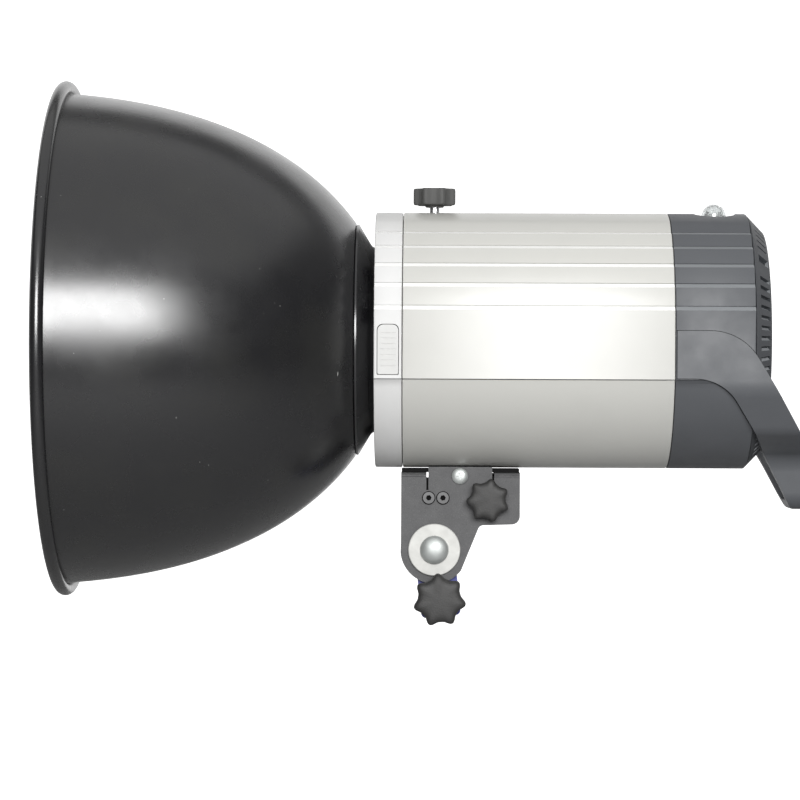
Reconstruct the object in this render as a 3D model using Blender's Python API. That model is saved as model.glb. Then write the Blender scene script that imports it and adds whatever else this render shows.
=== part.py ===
"""Monolight strobe: a studio flash head with a dish reflector on a tilting stand bracket.

Sizes are in millimetres and become metres where a mesh is made. The stand socket's mouth is the origin,
+Z is up and the light points along -X. The head's pieces are placed from the strobe axis, the receiver's
from the socket's mouth.
"""

import math

import bmesh
import bpy
from mathutils import Matrix, Vector

MM = 0.001
FIT = 0.3

# Stand receiver and tilt pivot
LEAN = math.radians(6.2)
SOCKET_RADIUS = 8.3
SOCKET_DEPTH = 27.0
RECEIVER_WIDTH = 24.0
PIVOT_HEIGHT = 41.0
PIVOT_DROP = 127.0
PIVOT_X = 0.7
STAND_KNOB_HEIGHT = 11.0

# Casing
BODY_RADIUS = 77.5
STEP_ANGLES = (12.3, 22.8, 33.0, 43.6, 54.0)
STEP_HEIGHT = 1.8
STEP_SLOPE = 2.4
SIDE_FLAT = 75.6
PARTING_Z = -24.0
WALL = 2.4
RING_FRONT = -35.4
RING_REAR = -18.9
SHELL_REAR = 141.5
HOUSING_REAR = 188.4
VENT_FACE = 198.6
VENT_INNER = 65.6
SEAM = 0.3
HANDLE_INNER = 69.3
HANDLE_BOTTOM = -101.7
RELIEF_TOP = -25.0

# Reflector: a 12 inch dish whose wall follows a superellipse
RIM_X = -223.2
RIM_RADIUS = 156.5
BEAD_RADIUS = 4.0
DISH_RADIUS = 150.5
DISH_START = -280.0
DISH_LENGTH = 256.0
DISH_POWER = 2.6
DISH_BACK = -47.6
DISH_WALL = 1.6
NECK_RADIUS = 56.0
RING_CAVITY = 63.0

# Tilt bracket and umbrella block
CHEEK_INNER = 13.5
CHEEK_OUTER = 16.5
CHEEK_LEFT = -19.5
CHEEK_RIGHT = 52.3
CHEEK_ROUND = 20.5
TAB_LEFT = -3.0
TAB_RIGHT = 35.5
SLIT = 1.3
BLOCK_HALF = 13.1
UMBRELLA_X = 32.9
UMBRELLA_Z = -96.8
UMBRELLA_BORE = 4.2
SOCKET_SCREWS = (-2.8, 5.8)
SOCKET_SCREW_Z = -95.6
PAN_SCREW_X = 16.0
PAN_SCREW_Z = -82.4

# Clamp knobs
STAND_KNOB_RADIUS = 16.0
SMALL_KNOB_RADIUS = 13.1
STUD_RADIUS = 3.0
LOBES = 7
TOP_KNOB_X = 0.0
TOP_KNOB_LOW = 80.9
PHOTOCELL_X = 170.0

# Rear panel, set deep in the vent ring: positions across (Y) and up (Z)
PANEL_FACE = 191.7
PANEL_RADIUS = 69.0
PANEL_THICKNESS = 2.0
DIAL_AT = (0.0, 2.0)
TEST_AT = (-32.0, 16.0)
MODEL_AT = (32.0, 16.0)
CELL_AT = (32.0, -6.0)
SYNC_AT = (-32.0, -6.0)
DISPLAY_AT = (0.0, 42.0)
INLET_AT = (18.0, -38.0)
SWITCH_AT = (-10.0, -38.0)
FUSE_AT = (-34.0, -33.0)
ROCKER_TILT = math.radians(-7.0)
LEVER_TIP = (48.0, 22.0)
LEVER_TURN = 24.0

MATERIALS = {
    "satin_black": ((0.024, 0.024, 0.025), 0.42, 0.0),
    "light_grey": ((0.66, 0.66, 0.65), 0.42, 0.0),
    "silver_white": ((0.72, 0.72, 0.70), 0.38, 0.0),
    "slate": ((0.135, 0.142, 0.155), 0.5, 0.0),
    "slate_dark": ((0.05, 0.054, 0.06), 0.55, 0.0),
    "bracket_grey": ((0.15, 0.15, 0.152), 0.6, 0.3),
    "knob_black": ((0.07, 0.068, 0.066), 0.55, 0.0),
    "blue_cast": ((0.02, 0.03, 0.22), 0.45, 0.2),
    "zinc": ((0.78, 0.78, 0.76), 0.35, 0.9),
    "steel": ((0.55, 0.55, 0.56), 0.3, 1.0),
    "black_steel": ((0.06, 0.06, 0.062), 0.4, 0.8),
    "aluminium": ((0.7, 0.7, 0.71), 0.35, 1.0),
    "brass": ((0.72, 0.55, 0.22), 0.35, 1.0),
    "clear": ((0.9, 0.92, 0.92), 0.08, 0.0),
    "ceramic": ((0.82, 0.8, 0.76), 0.5, 0.0),
    "board_green": ((0.03, 0.16, 0.07), 0.5, 0.0),
    "can_blue": ((0.05, 0.09, 0.2), 0.3, 0.0),
    "black_anodised": ((0.03, 0.03, 0.032), 0.45, 0.6),
    "panel_black": ((0.03, 0.03, 0.033), 0.5, 0.0),
    "button_grey": ((0.4, 0.41, 0.42), 0.5, 0.0),
    "red": ((0.5, 0.02, 0.015), 0.3, 0.0),
    "fibre": ((0.35, 0.2, 0.1), 0.8, 0.0),
}


def material(name):
    """The named material, made the first time it is asked for."""
    if name in bpy.data.materials:
        return bpy.data.materials[name]
    colour, roughness, metallic = MATERIALS[name]
    made = bpy.data.materials.new(name)
    made.use_nodes = True
    shader = made.node_tree.nodes["Principled BSDF"]
    shader.inputs["Base Color"].default_value = (*colour, 1.0)
    shader.inputs["Roughness"].default_value = roughness
    shader.inputs["Metallic"].default_value = metallic
    return made


def empty(name, location, tilt=0.0, parent=None):
    """A frame that pieces are parented to."""
    made = bpy.data.objects.new(name, None)
    made.location = Vector(location) * MM
    made.rotation_euler = (0.0, tilt, 0.0)
    made.parent = parent
    bpy.context.scene.collection.objects.link(made)
    return made


def finish(name, bm, parent, finish_name, at=(0.0, 0.0, 0.0)):
    """Closes a bmesh in millimetres into an object in metres, under its parent."""
    bmesh.ops.remove_doubles(bm, verts=bm.verts, dist=1e-5)
    bmesh.ops.recalc_face_normals(bm, faces=bm.faces)
    bmesh.ops.scale(bm, vec=(MM, MM, MM), verts=bm.verts)
    mesh = bpy.data.meshes.new(name)
    bm.to_mesh(mesh)
    bm.free()
    mesh.shade_smooth()
    mesh.set_sharp_from_angle(angle=math.radians(30))
    made = bpy.data.objects.new(name, mesh)
    made.location = Vector(at) * MM
    made.parent = parent
    bpy.context.scene.collection.objects.link(made)
    if finish_name:
        mesh.materials.append(material(finish_name))
    return made


def cutter(made):
    """Marks an object as a helper that is only cut with or joined in."""
    made.hide_render = True
    made.display_type = "WIRE"
    return made


def boolean(target, helper, operation="DIFFERENCE"):
    """Adds an exact Boolean to target."""
    modifier = target.modifiers.new(helper.name, "BOOLEAN")
    modifier.object = cutter(helper)
    modifier.operation = operation
    modifier.solver = "EXACT"


def in_space(axis, u, v, along):
    """A point given by two coordinates across an axis and one along it."""
    return {"X": (along, u, v), "Y": (u, along, v), "Z": (u, v, along)}[axis]


def prism(name, outline, axis, low, high, parent, finish_name=None, at=(0.0, 0.0, 0.0)):
    """An outline, in the two coordinates across the axis, extruded from low to high along it."""
    bm = bmesh.new()
    face = bm.faces.new([bm.verts.new(in_space(axis, u, v, low)) for u, v in outline])
    grown = bmesh.ops.extrude_face_region(bm, geom=[face], use_keep_orig=True)
    moved = [item for item in grown["geom"] if isinstance(item, bmesh.types.BMVert)]
    bmesh.ops.translate(bm, verts=moved, vec=in_space(axis, 0.0, 0.0, high - low))
    return finish(name, bm, parent, finish_name, at)


def turned(name, profile, axis, parent, finish_name=None, at=(0.0, 0.0, 0.0), sides=32):
    """A closed profile of (position along the axis, radius) points, spun round the axis."""
    bm = bmesh.new()
    corners = [bm.verts.new(in_space(axis, 0.0, radius, along)) for along, radius in profile]
    edges = [bm.edges.new(pair) for pair in zip(corners, corners[1:] + corners[:1])]
    axial = [edge for edge in edges if all(math.hypot(*across(axis, v.co)) < 1e-6 for v in edge.verts)]
    bmesh.ops.delete(bm, geom=axial, context="EDGES")
    bmesh.ops.spin(
        bm,
        geom=list(bm.edges),
        cent=(0.0, 0.0, 0.0),
        axis=in_space(axis, 0.0, 0.0, 1.0),
        angle=math.tau,
        steps=sides,
        use_merge=True,
    )
    return finish(name, bm, parent, finish_name, at)


def across(axis, point):
    """The two coordinates of a point across an axis."""
    return {"X": (point.y, point.z), "Y": (point.x, point.z), "Z": (point.x, point.y)}[axis]


def box(name, low, high, parent, finish_name=None, at=(0.0, 0.0, 0.0)):
    """A block between two corners."""
    outline = [(low[0], low[1]), (high[0], low[1]), (high[0], high[1]), (low[0], high[1])]
    return prism(name, outline, "Z", low[2], high[2], parent, finish_name, at)


def rod(name, radius, axis, low, high, parent, finish_name=None, at=(0.0, 0.0, 0.0), sides=20):
    """A round bar."""
    return prism(name, circle(radius, sides), axis, low, high, parent, finish_name, at)


def circle(radius, sides, centre=(0.0, 0.0)):
    """Points round a circle, the first of them on the +u side."""
    turns = [math.tau * i / sides for i in range(sides)]
    return [(centre[0] + radius * math.cos(t), centre[1] + radius * math.sin(t)) for t in turns]


def arc(radius, start, end, steps, centre=(0.0, 0.0)):
    """Points along an arc, both ends included, with angles in degrees."""
    turns = [math.radians(start + (end - start) * i / steps) for i in range(steps + 1)]
    return [(centre[0] + radius * math.cos(t), centre[1] + radius * math.sin(t)) for t in turns]


def rounded(corners, steps=5):
    """A closed outline from (u, v, radius) corners, each with a radius turned into an arc."""
    points = []
    for i, (u, v, radius) in enumerate(corners):
        here = Vector((u, v))
        to_last = (Vector(corners[i - 1][:2]) - here).normalized()
        to_next = (Vector(corners[(i + 1) % len(corners)][:2]) - here).normalized()
        if radius == 0.0:
            points.append((u, v))
            continue
        half = to_last.angle(to_next) / 2
        centre = here + (to_last + to_next).normalized() * (radius / math.sin(half))
        first = here + to_last * (radius / math.tan(half)) - centre
        sweep = first.angle_signed(here + to_next * (radius / math.tan(half)) - centre)
        for j in range(steps + 1):
            turned_by = first.copy()
            turned_by.rotate(Matrix.Rotation(-sweep * j / steps, 2))
            points.append(tuple(centre + turned_by))
    return points


def polar(radius, degrees):
    """A point at a radius and an angle."""
    return (radius * math.cos(math.radians(degrees)), radius * math.sin(math.radians(degrees)))


def stepped_quarter():
    """The stepped side of the casing from the side flat up to the plain arc over the top.

    Each panel ends below at a crease, where the surface slopes out again to the panel under it.
    """
    inner = BODY_RADIUS - STEP_HEIGHT
    points = [(SIDE_FLAT, PARTING_Z), polar(BODY_RADIUS, STEP_ANGLES[0])]
    for low, high in zip(STEP_ANGLES, STEP_ANGLES[1:]):
        points += [polar(inner, low + STEP_SLOPE), polar(BODY_RADIUS, high)]
    return points + [polar(inner, STEP_ANGLES[-1] + STEP_SLOPE), polar(BODY_RADIUS, STEP_ANGLES[-1] + 10.0)]


def upper_outline():
    """The outside of the casing above the parting line, from the right side over the top to the left."""
    quarter = stepped_quarter()
    start = STEP_ANGLES[-1] + 10.0
    top = arc(BODY_RADIUS, start, 180.0 - start, 10)[1:-1]
    return quarter + top + [(-y, z) for y, z in reversed(quarter)]


def lower_outline():
    """The plain arc of the casing below the parting line, from the left side round to the right."""
    start = math.degrees(math.asin(-PARTING_Z / BODY_RADIUS))
    return arc(BODY_RADIUS, 180.0 + start, 360.0 - start, 28)


def shell_half(name, outer, low, high, parent, finish_name):
    """An open casing half: its outside, and a round inside one wall further in."""
    inner_radius = BODY_RADIUS - WALL - STEP_HEIGHT
    start, end = (math.degrees(math.atan2(z, y)) % 360.0 for y, z in (outer[0], outer[-1]))
    if end < start:
        end += 360.0
    inner = arc(inner_radius, end, start, 24)
    return prism(name, outer + inner, "X", low, high, parent, finish_name)


def dish_radius(x):
    """The dish's outer radius at a place along the strobe axis."""
    return DISH_RADIUS * math.sqrt(1.0 - ((x - DISH_START) / DISH_LENGTH) ** DISH_POWER)


def reflector_bowl(head):
    """The spun dish with its rolled rim and a flat back."""
    steps = 12
    places = [RIM_X + (DISH_BACK - RIM_X) * (1.0 - (1.0 - i / steps) ** 1.5) for i in range(steps + 1)]
    outside = [(x, dish_radius(x)) for x in places]
    inside = [(x, dish_radius(x) - DISH_WALL) for x in places[:-1]]
    bead = [
        (RIM_X + BEAD_RADIUS * math.cos(t), RIM_RADIUS - BEAD_RADIUS + BEAD_RADIUS * math.sin(t))
        for t in (math.radians(a) for a in (235, 180, 125, 70, 10, -40))
    ]
    back = [(DISH_BACK, 57.0), (DISH_BACK - DISH_WALL, 57.0)]
    back.append((DISH_BACK - DISH_WALL, dish_radius(DISH_BACK) - 4.0))
    profile = bead + outside[1:] + back + list(reversed(inside[1:]))
    return turned("reflector_bowl", profile, "X", head, "satin_black", sides=48)


def sector(radius, centre_angle, half_width):
    """A wedge outline from the axis out to a radius."""
    return [(0.0, 0.0)] + arc(radius, centre_angle - half_width, centre_angle + half_width, 4)


def reflector_neck(head):
    """The spun collar behind the dish, with three bayonet ears."""
    front = DISH_BACK + FIT
    profile = [
        (front, 56.4),
        (front, 70.0),
        (front + 1.8, 70.0),
        (-37.4, NECK_RADIUS + 1.0),
        (RING_FRONT + 4.4, NECK_RADIUS),
        (RING_FRONT + 4.4, 61.5),
        (RING_FRONT + 7.0, 61.5),
        (RING_FRONT + 7.0, 53.6),
        (-37.4, 53.6),
    ]
    neck = turned("reflector_neck", profile, "X", head, "satin_black", sides=48)
    for i in range(3):
        gap = prism(f"cut_ear_{i}", ear_gap(120.0 * i), "X", RING_FRONT + 4.3, RING_FRONT + 8.0, head)
        boolean(neck, gap)
    return neck


def ear_gap(centre_angle):
    """The outline between two bayonet ears, outside the neck's tube."""
    half = 40.0
    outer = arc(66.0, centre_angle - half, centre_angle + half, 6)
    return outer + arc(NECK_RADIUS, centre_angle + half, centre_angle - half, 6)


def front_ring(head):
    """The casing's front casting: a full stepped outline with the bayonet's lip and three entry gaps."""
    outer = upper_outline() + lower_outline()[1:-1]
    ring = prism("front_ring", outer, "X", RING_FRONT, RING_REAR, head, "light_grey")
    front, rear = RING_FRONT - 1.0, RING_REAR + 1.0
    boolean(ring, rod("cut_ring_mouth", NECK_RADIUS + 1.4, "X", front, rear, head, sides=48))
    boolean(ring, rod("cut_ring_cavity", RING_CAVITY, "X", RING_FRONT + 3.6, rear, head, sides=48))
    for i in range(3):
        gap = prism(f"cut_entry_{i}", sector(62.4, 120.0 * i + 30.0, 21.5), "X", front, -31.0, head)
        boolean(ring, gap)
    pocket = prism("cut_latch", latch_outline(0.3), "Y", -80.0, -58.0, head)
    boolean(ring, pocket)
    notch = box("cut_notch", (RING_REAR - 3.2, -9.0, 73.0), (RING_REAR + 1.0, 9.0, 80.0), head)
    boolean(ring, notch)
    return ring


def latch_outline(grow):
    """The release latch seen from the side, grown outward for its pocket."""
    return rounded([
        (-33.2 - grow, -21.6 - grow, 1.0),
        (-20.9 + grow, -21.6 - grow, 1.0),
        (-20.9 + grow, 7.6 + grow, 3.0),
        (-33.2 - grow, 7.6 + grow, 3.0),
    ], 3)


def latch_button(head):
    """The reflector release, pressed inward."""
    at = (0.0, -71.3, 0.0)
    return prism("latch_button", latch_outline(0.0), "Y", -4.4, 3.0, head, "light_grey", at)


def casing(head):
    """Upper shell, lower shell and rear housing."""
    start, end = RING_REAR + SEAM, SHELL_REAR - SEAM
    upper = shell_half("upper_shell", upper_outline(), start, end, head, "silver_white")
    boolean(upper, rod("cut_top_stud", STUD_RADIUS + 0.4, "Z", 60.0, 80.0, head, at=(TOP_KNOB_X, 0.0, 0.0)))
    lower_points = [(y, z - SEAM) for y, z in lower_outline()]
    lower = shell_half("lower_shell", lower_points, start, end, head, "silver_white")
    boolean(lower, box("cut_foot", (-2.6, -13.8, -90.0), (35.0, 13.8, -60.0), head))
    return upper, lower


def rear_housing(head):
    """The rear casing, in one piece round the stepped outline, with the handle's pockets in its sides."""
    outer = upper_outline() + lower_outline()[1:-1]
    housing = prism("rear_housing", outer, "X", SHELL_REAR, HOUSING_REAR, head, "slate")
    inner = BODY_RADIUS - WALL - STEP_HEIGHT
    low, high = SHELL_REAR - 1.0, HOUSING_REAR + 1.0
    boolean(housing, rod("cut_housing_bore", inner, "X", low, high, head, sides=48))
    for side, low, high in (("near", -90.0, -44.0), ("far", 44.0, 90.0)):
        boolean(housing, prism(f"cut_handle_{side}", handle_side(0.35), "Y", low, high, head))
    recess = prism("cut_photocell", cell_outline(0.0), "Z", 60.0, 90.0, head, at=(PHOTOCELL_X, 0.0, 0.0))
    boolean(housing, recess)
    return housing


def vent_ring(head):
    """The chamfered ring round the rear panel."""
    front = HOUSING_REAR + SEAM
    profile = [
        (front, BODY_RADIUS - 1.0),
        (VENT_FACE, VENT_INNER + 0.9),
        (VENT_FACE, VENT_INNER),
        (VENT_FACE - 3.6, VENT_INNER),
        (front, BODY_RADIUS - 6.0),
    ]
    ring = turned("vent_ring", profile, "X", head, "slate_dark", sides=64)
    for side, low, high in (("near", -90.0, -HANDLE_INNER), ("far", HANDLE_INNER, 90.0)):
        boolean(ring, prism(f"cut_ring_{side}", handle_side(0.35), "Y", low, high, head))
    return ring


def handle_side(grow):
    """The handle seen from the side, grown outward for its pockets."""
    lean = 0.574 * grow
    return rounded([
        (SHELL_REAR + 0.8 - grow, 4.6 + grow, 0.0),
        (SHELL_REAR + 0.8 - grow, -23.4 - grow, 0.0),
        (168.8 - lean, -23.4 - grow, 30.0),
        (198.8 - lean, -69.0, 30.0),
        (216.0 - lean, HANDLE_BOTTOM, 3.6),
        (245.0 + lean, HANDLE_BOTTOM, 6.0),
        (180.1 + lean, 4.6 + grow, 33.0),
    ], 6)


def carry_handle(head):
    """A stirrup from both sides of the rear housing, drawn in below to a narrow grip."""
    outside = [(76.0, 14.0, 0.0), (76.0, -30.0, 20.0), (61.0, -55.0, 14.0), (22.0, -71.0, 14.0)]
    outside.append((18.0, HANDLE_BOTTOM, 12.0))
    inside = [(70.1, 14.0, 0.0), (70.1, -28.0, 16.0), (56.5, -51.0, 10.0), (16.4, -67.4, 9.0)]
    inside.append((12.6, HANDLE_BOTTOM + 5.5, 7.0))
    corners = outside + [(-y, z, r) for y, z, r in reversed(outside)]
    corners += [(-y, z, r) for y, z, r in inside] + list(reversed(inside))
    handle = prism("carry_handle", rounded(corners, 4), "X", SHELL_REAR, 260.0, head, "slate")
    boolean(handle, prism("keep_handle", handle_side(0.0), "Y", -90.0, 90.0, head), "INTERSECT")
    relief = [
        (HOUSING_REAR - 0.2, 0.0),
        (HOUSING_REAR - 0.2, BODY_RADIUS),
        (VENT_FACE + 0.5, VENT_INNER + 1.7),
        (VENT_FACE + 0.5, 0.0),
    ]
    hollow = turned("cut_ring_relief", relief, "X", head, sides=64)
    boolean(hollow, box("cut_relief_top", (180.0, -90.0, RELIEF_TOP), (210.0, 90.0, 90.0), head))
    boolean(handle, hollow)
    return handle


def cell_outline(grow):
    """The slave cell's recess from above, long across the casing, grown outward."""
    half_x, half_y = 12.8 + grow, 20.5 + grow
    return rounded([
        (-half_x, -half_y, 12.0), (half_x, -half_y, 12.0), (half_x, half_y, 12.0), (-half_x, half_y, 12.0),
    ], 4)


def photocell(head):
    """The slave cell: the recess's floor in the housing's top, a sensor and its clear dome."""
    x = PHOTOCELL_X
    prism("photocell_cup", cell_outline(-0.35), "Z", 71.0, 72.2, head, "slate", (x, 0.0, 0.0))
    outer = [(76.2 + v, u) for u, v in arc(7.4, 0.0, 90.0, 6)]
    inner = [(76.2 + v, u) for u, v in arc(6.2, 90.0, 0.0, 4)]
    profile = [(72.5, 7.4)] + outer + inner + [(72.5, 6.2)]
    turned("photocell_dome", profile, "Z", head, "clear", at=(x, 0.0, 0.0), sides=16)
    box("photocell_sensor", (-2.0, -2.0, 72.5), (2.0, 2.0, 77.0), head, "panel_black", at=(x, 0.0, 0.0))


def knob_outline(radius):
    """Seven lobes with a hollow scallop between each pair."""
    points = []
    per_lobe = 6
    for i in range(LOBES * per_lobe):
        turn = math.tau * i / (LOBES * per_lobe)
        wave = (1.0 + math.cos(LOBES * turn)) / 2.0
        reach = radius * (0.83 + 0.17 * wave ** 1.4)
        points.append((reach * math.cos(turn), reach * math.sin(turn)))
    return points


def star_knob(name, radius, thickness, axis, low, stud_radius, parent, at):
    """A lobed knob with a hole for its stud, its outer face at low + thickness along the axis."""
    knob = prism(name, knob_outline(radius), axis, low, low + thickness, parent, "knob_black", at)
    hole_end = low + thickness * 0.65
    first, last = sorted((low - math.copysign(1.0, thickness), hole_end))
    boolean(knob, rod(f"cut_{name}", stud_radius + FIT, axis, first, last, parent, at=at))
    return knob


def top_clamp(head):
    """The thumb knob on top of the casing: knob, stud and swivel pad."""
    at = (TOP_KNOB_X, 0.0, 0.0)
    star_knob("top_knob", SMALL_KNOB_RADIUS, 11.4, "Z", TOP_KNOB_LOW, STUD_RADIUS, head, at)
    rod("top_stud", STUD_RADIUS, "Z", 62.0, 87.0, head, "steel", at)
    rod("top_pad", 4.5, "Z", 59.7, 61.7, head, "brass", at)


def cheek_outline():
    """One cheek of the tilt bracket from the side."""
    pivot_z = -PIVOT_DROP
    round_end = arc(CHEEK_ROUND, 180.0, 322.0, 12, (PIVOT_X, pivot_z))
    return (
        [(CHEEK_LEFT, -80.5), (CHEEK_LEFT, pivot_z + 4.0)]
        + round_end[1:]
        + [(28.4, -113.0), (47.0, -111.6)]
        + arc(4.5, 270.0, 360.0, 4, (CHEEK_RIGHT - 4.5, -107.1))
        + [(CHEEK_RIGHT, -80.5), (TAB_RIGHT + SLIT, -80.5), (TAB_RIGHT + SLIT, -86.0), (TAB_RIGHT, -86.0)]
        + [(TAB_RIGHT, -76.9), (TAB_LEFT, -76.9), (TAB_LEFT, -91.0), (TAB_LEFT - SLIT, -91.0)]
        + [(TAB_LEFT - SLIT, -80.5)]
    )


def tilt_bracket(head):
    """One folded sheet: two cheeks joined over the top by two narrow webs, with a tab between them."""
    cheek = cheek_outline()
    bracket = prism("tilt_bracket", cheek, "Y", -CHEEK_OUTER, -CHEEK_INNER, head, "bracket_grey")
    far = prism("add_far_cheek", cheek, "Y", CHEEK_INNER, CHEEK_OUTER, head)
    boolean(bracket, far, "UNION")
    half = CHEEK_INNER + 1.0
    webs = (("front", CHEEK_LEFT, TAB_LEFT - SLIT), ("rear", TAB_RIGHT + SLIT, CHEEK_RIGHT))
    for name, left, right in webs:
        web = box(f"add_web_{name}", (left, -half, -83.4), (right, half, -80.5), head)
        boolean(bracket, web, "UNION")
    holes = [("pivot", PIVOT_X, -PIVOT_DROP, 4.4), ("pan", PAN_SCREW_X, PAN_SCREW_Z, 2.3)]
    holes += [(f"socket_{i}", x, SOCKET_SCREW_Z, 2.3) for i, x in enumerate(SOCKET_SCREWS)]
    for name, x, z, radius in holes:
        boolean(bracket, rod(f"cut_{name}", radius, "Y", -20.0, 20.0, head, at=(x, 0.0, z), sides=16))
    knob_hole = rod("cut_umbrella_stud", STUD_RADIUS + 0.4, "Y", -20.0, -10.0, head,
                    at=(UMBRELLA_X, 0.0, UMBRELLA_Z), sides=16)
    boolean(bracket, knob_hole)
    return bracket


def umbrella_block(head):
    """The block that the cheeks are screwed to, bored through for an umbrella's shaft."""
    outline = [
        (-14.0, -104.0), (46.0, -104.0), (46.0, -84.0), (34.4, -84.0),
        (34.4, -80.2), (51.9, -80.2), (51.9, -78.1), (34.4, -78.1),
        (34.4, -50.4), (-2.0, -50.4),
        (-2.0, -78.1), (-19.2, -78.1), (-19.2, -80.2), (-2.0, -80.2),
        (-2.0, -84.0), (-14.0, -84.0),
    ]
    block = prism("umbrella_block", outline, "Y", -BLOCK_HALF, BLOCK_HALF, head, "black_anodised")
    boolean(block, rod("cut_shaft", UMBRELLA_BORE, "X", -20.0, 50.0, head, at=(0.0, 0.0, UMBRELLA_Z)))
    stud = rod("cut_clamp_stud", STUD_RADIUS + 0.4, "Y", -20.0, 0.0, head, at=(UMBRELLA_X, 0.0, UMBRELLA_Z))
    boolean(block, stud)
    for side, low, high in (("near", -20.0, -8.0), ("far", 8.0, 20.0)):
        places = [("pan", PAN_SCREW_X, PAN_SCREW_Z)]
        places += [(f"socket_{i}", x, SOCKET_SCREW_Z) for i, x in enumerate(SOCKET_SCREWS)]
        for name, x, z in places:
            boolean(block, rod(f"cut_{name}_{side}", 2.3, "Y", low, high, head, at=(x, 0.0, z), sides=12))
    return block


def side_screw(name, head_radius, head_height, x, z, side, parent, finish_name):
    """A screw through a cheek into the block: side is -1 on the near cheek and +1 on the far one."""
    seat = CHEEK_OUTER + 0.2
    profile = [(side * y, r) for y, r in (
        (9.0, 0.0),
        (9.0, 2.0),
        (seat, 2.0),
        (seat, head_radius),
        (seat + head_height * 0.55, head_radius * 0.93),
        (seat + head_height, head_radius * 0.55),
        (seat + head_height, 0.0),
    )]
    return turned(name, profile, "Y", parent, finish_name, at=(x, 0.0, z), sides=16)


def bracket_screws(head):
    """The near cheek's pan-head screw and two socket-head screws; the far cheek's are alike."""
    side_screw("pan_screw", 5.0, 2.4, PAN_SCREW_X, PAN_SCREW_Z, -1.0, head, "zinc")
    for place, x in zip(("front", "rear"), SOCKET_SCREWS):
        side_screw(f"socket_screw_{place}", 4.0, 1.6, x, SOCKET_SCREW_Z, -1.0, head, "black_steel")


def pivot_parts(head):
    """The tilt pivot: bolt, outer washers, friction discs and lock lever."""
    at = (PIVOT_X, 0.0, -PIVOT_DROP)
    washer_near = [(-18.8, 4.4), (-18.8, 15.2), (-18.3, 15.7), (-16.8, 15.7), (-16.8, 4.4)]
    turned("pivot_washer_near", washer_near, "Y", head, "zinc", at)
    washer_far = [(18.8, 4.4), (18.8, 12.2), (18.3, 12.6), (16.8, 12.6), (16.8, 4.4)]
    turned("pivot_washer_far", washer_far, "Y", head, "zinc", at)
    dome = [(-19.1 - 4.6 * v, 8.6 * u) for u, v in arc(1.0, 0.0, 90.0, 5)]
    turned("pivot_bolt", [(31.0, 0.0), (31.0, 4.0), (-19.1, 4.0)] + dome, "Y", head, "zinc", at, sides=20)
    lever_outline = arc(12.5, 60.0, 314.0, 14) + arc(6.0, -40.0, 90.0, 5, LEVER_TIP)
    lever = prism("tilt_lever", rotated(lever_outline, LEVER_TURN), "Y", 19.2, 28.0, head, "knob_black", at)
    boolean(lever, rod("cut_lever", 4.35, "Y", 18.0, 34.0, head, at=at))


def rotated(outline, degrees):
    """An outline turned about its origin."""
    c, s = polar(1.0, degrees)
    return [(u * c - v * s, u * s + v * c) for u, v in outline]


def friction_discs(receiver):
    """Fibre discs between the receiver and the cheeks."""
    at = (0.0, 0.0, PIVOT_HEIGHT)
    for word, low, high in (("near", -13.2, -12.3), ("far", 12.3, 13.2)):
        disc = [(low, 4.4), (low, 11.4), (high, 11.4), (high, 4.4)]
        turned(f"friction_disc_{word}", disc, "Y", receiver, "fibre", at, sides=24)


def stand_receiver(receiver):
    """The block that drops onto a stand's spigot, round at the top about the tilt pivot."""
    half = RECEIVER_WIDTH / 2
    outline = [(-half, 0.0), (half, 0.0)] + arc(half, 0.0, 180.0, 14, (0.0, PIVOT_HEIGHT))
    block = prism("stand_receiver", outline, "Y", -half, half, receiver, "blue_cast")
    boolean(block, rod("cut_socket", SOCKET_RADIUS, "Z", -1.0, SOCKET_DEPTH, receiver, sides=32))
    boolean(block, rod("cut_receiver_pivot", 4.35, "Y", -20.0, 20.0, receiver, at=(0.0, 0.0, PIVOT_HEIGHT)))
    knob_at = (0.0, 0.0, STAND_KNOB_HEIGHT)
    boolean(block, rod("cut_receiver_stud", 4.0, "Y", -20.0, 0.0, receiver, at=knob_at))
    return block


def stand_clamp(receiver):
    """The knob that clamps the spigot: knob, stud and brass pad."""
    at = (0.0, 0.0, STAND_KNOB_HEIGHT)
    star_knob("stand_knob", STAND_KNOB_RADIUS, -12.0, "Y", -20.5, 3.6, receiver, at)
    rod("stand_stud", 3.6, "Y", -27.9, -11.5, receiver, "steel", at)
    rod("stand_pad", 3.6, "Y", -11.2, -9.2, receiver, "brass", at)


def umbrella_clamp(head):
    """The knob that clamps an umbrella's shaft: knob, stud and brass pad."""
    at = (UMBRELLA_X, 0.0, UMBRELLA_Z)
    star_knob("umbrella_knob", SMALL_KNOB_RADIUS, -10.0, "Y", -18.0, STUD_RADIUS, head, at)
    rod("umbrella_stud", STUD_RADIUS, "Y", -23.6, -7.1, head, "steel", at)
    rod("umbrella_pad", STUD_RADIUS, "Y", -6.8, -5.0, head, "brass", at)


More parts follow.
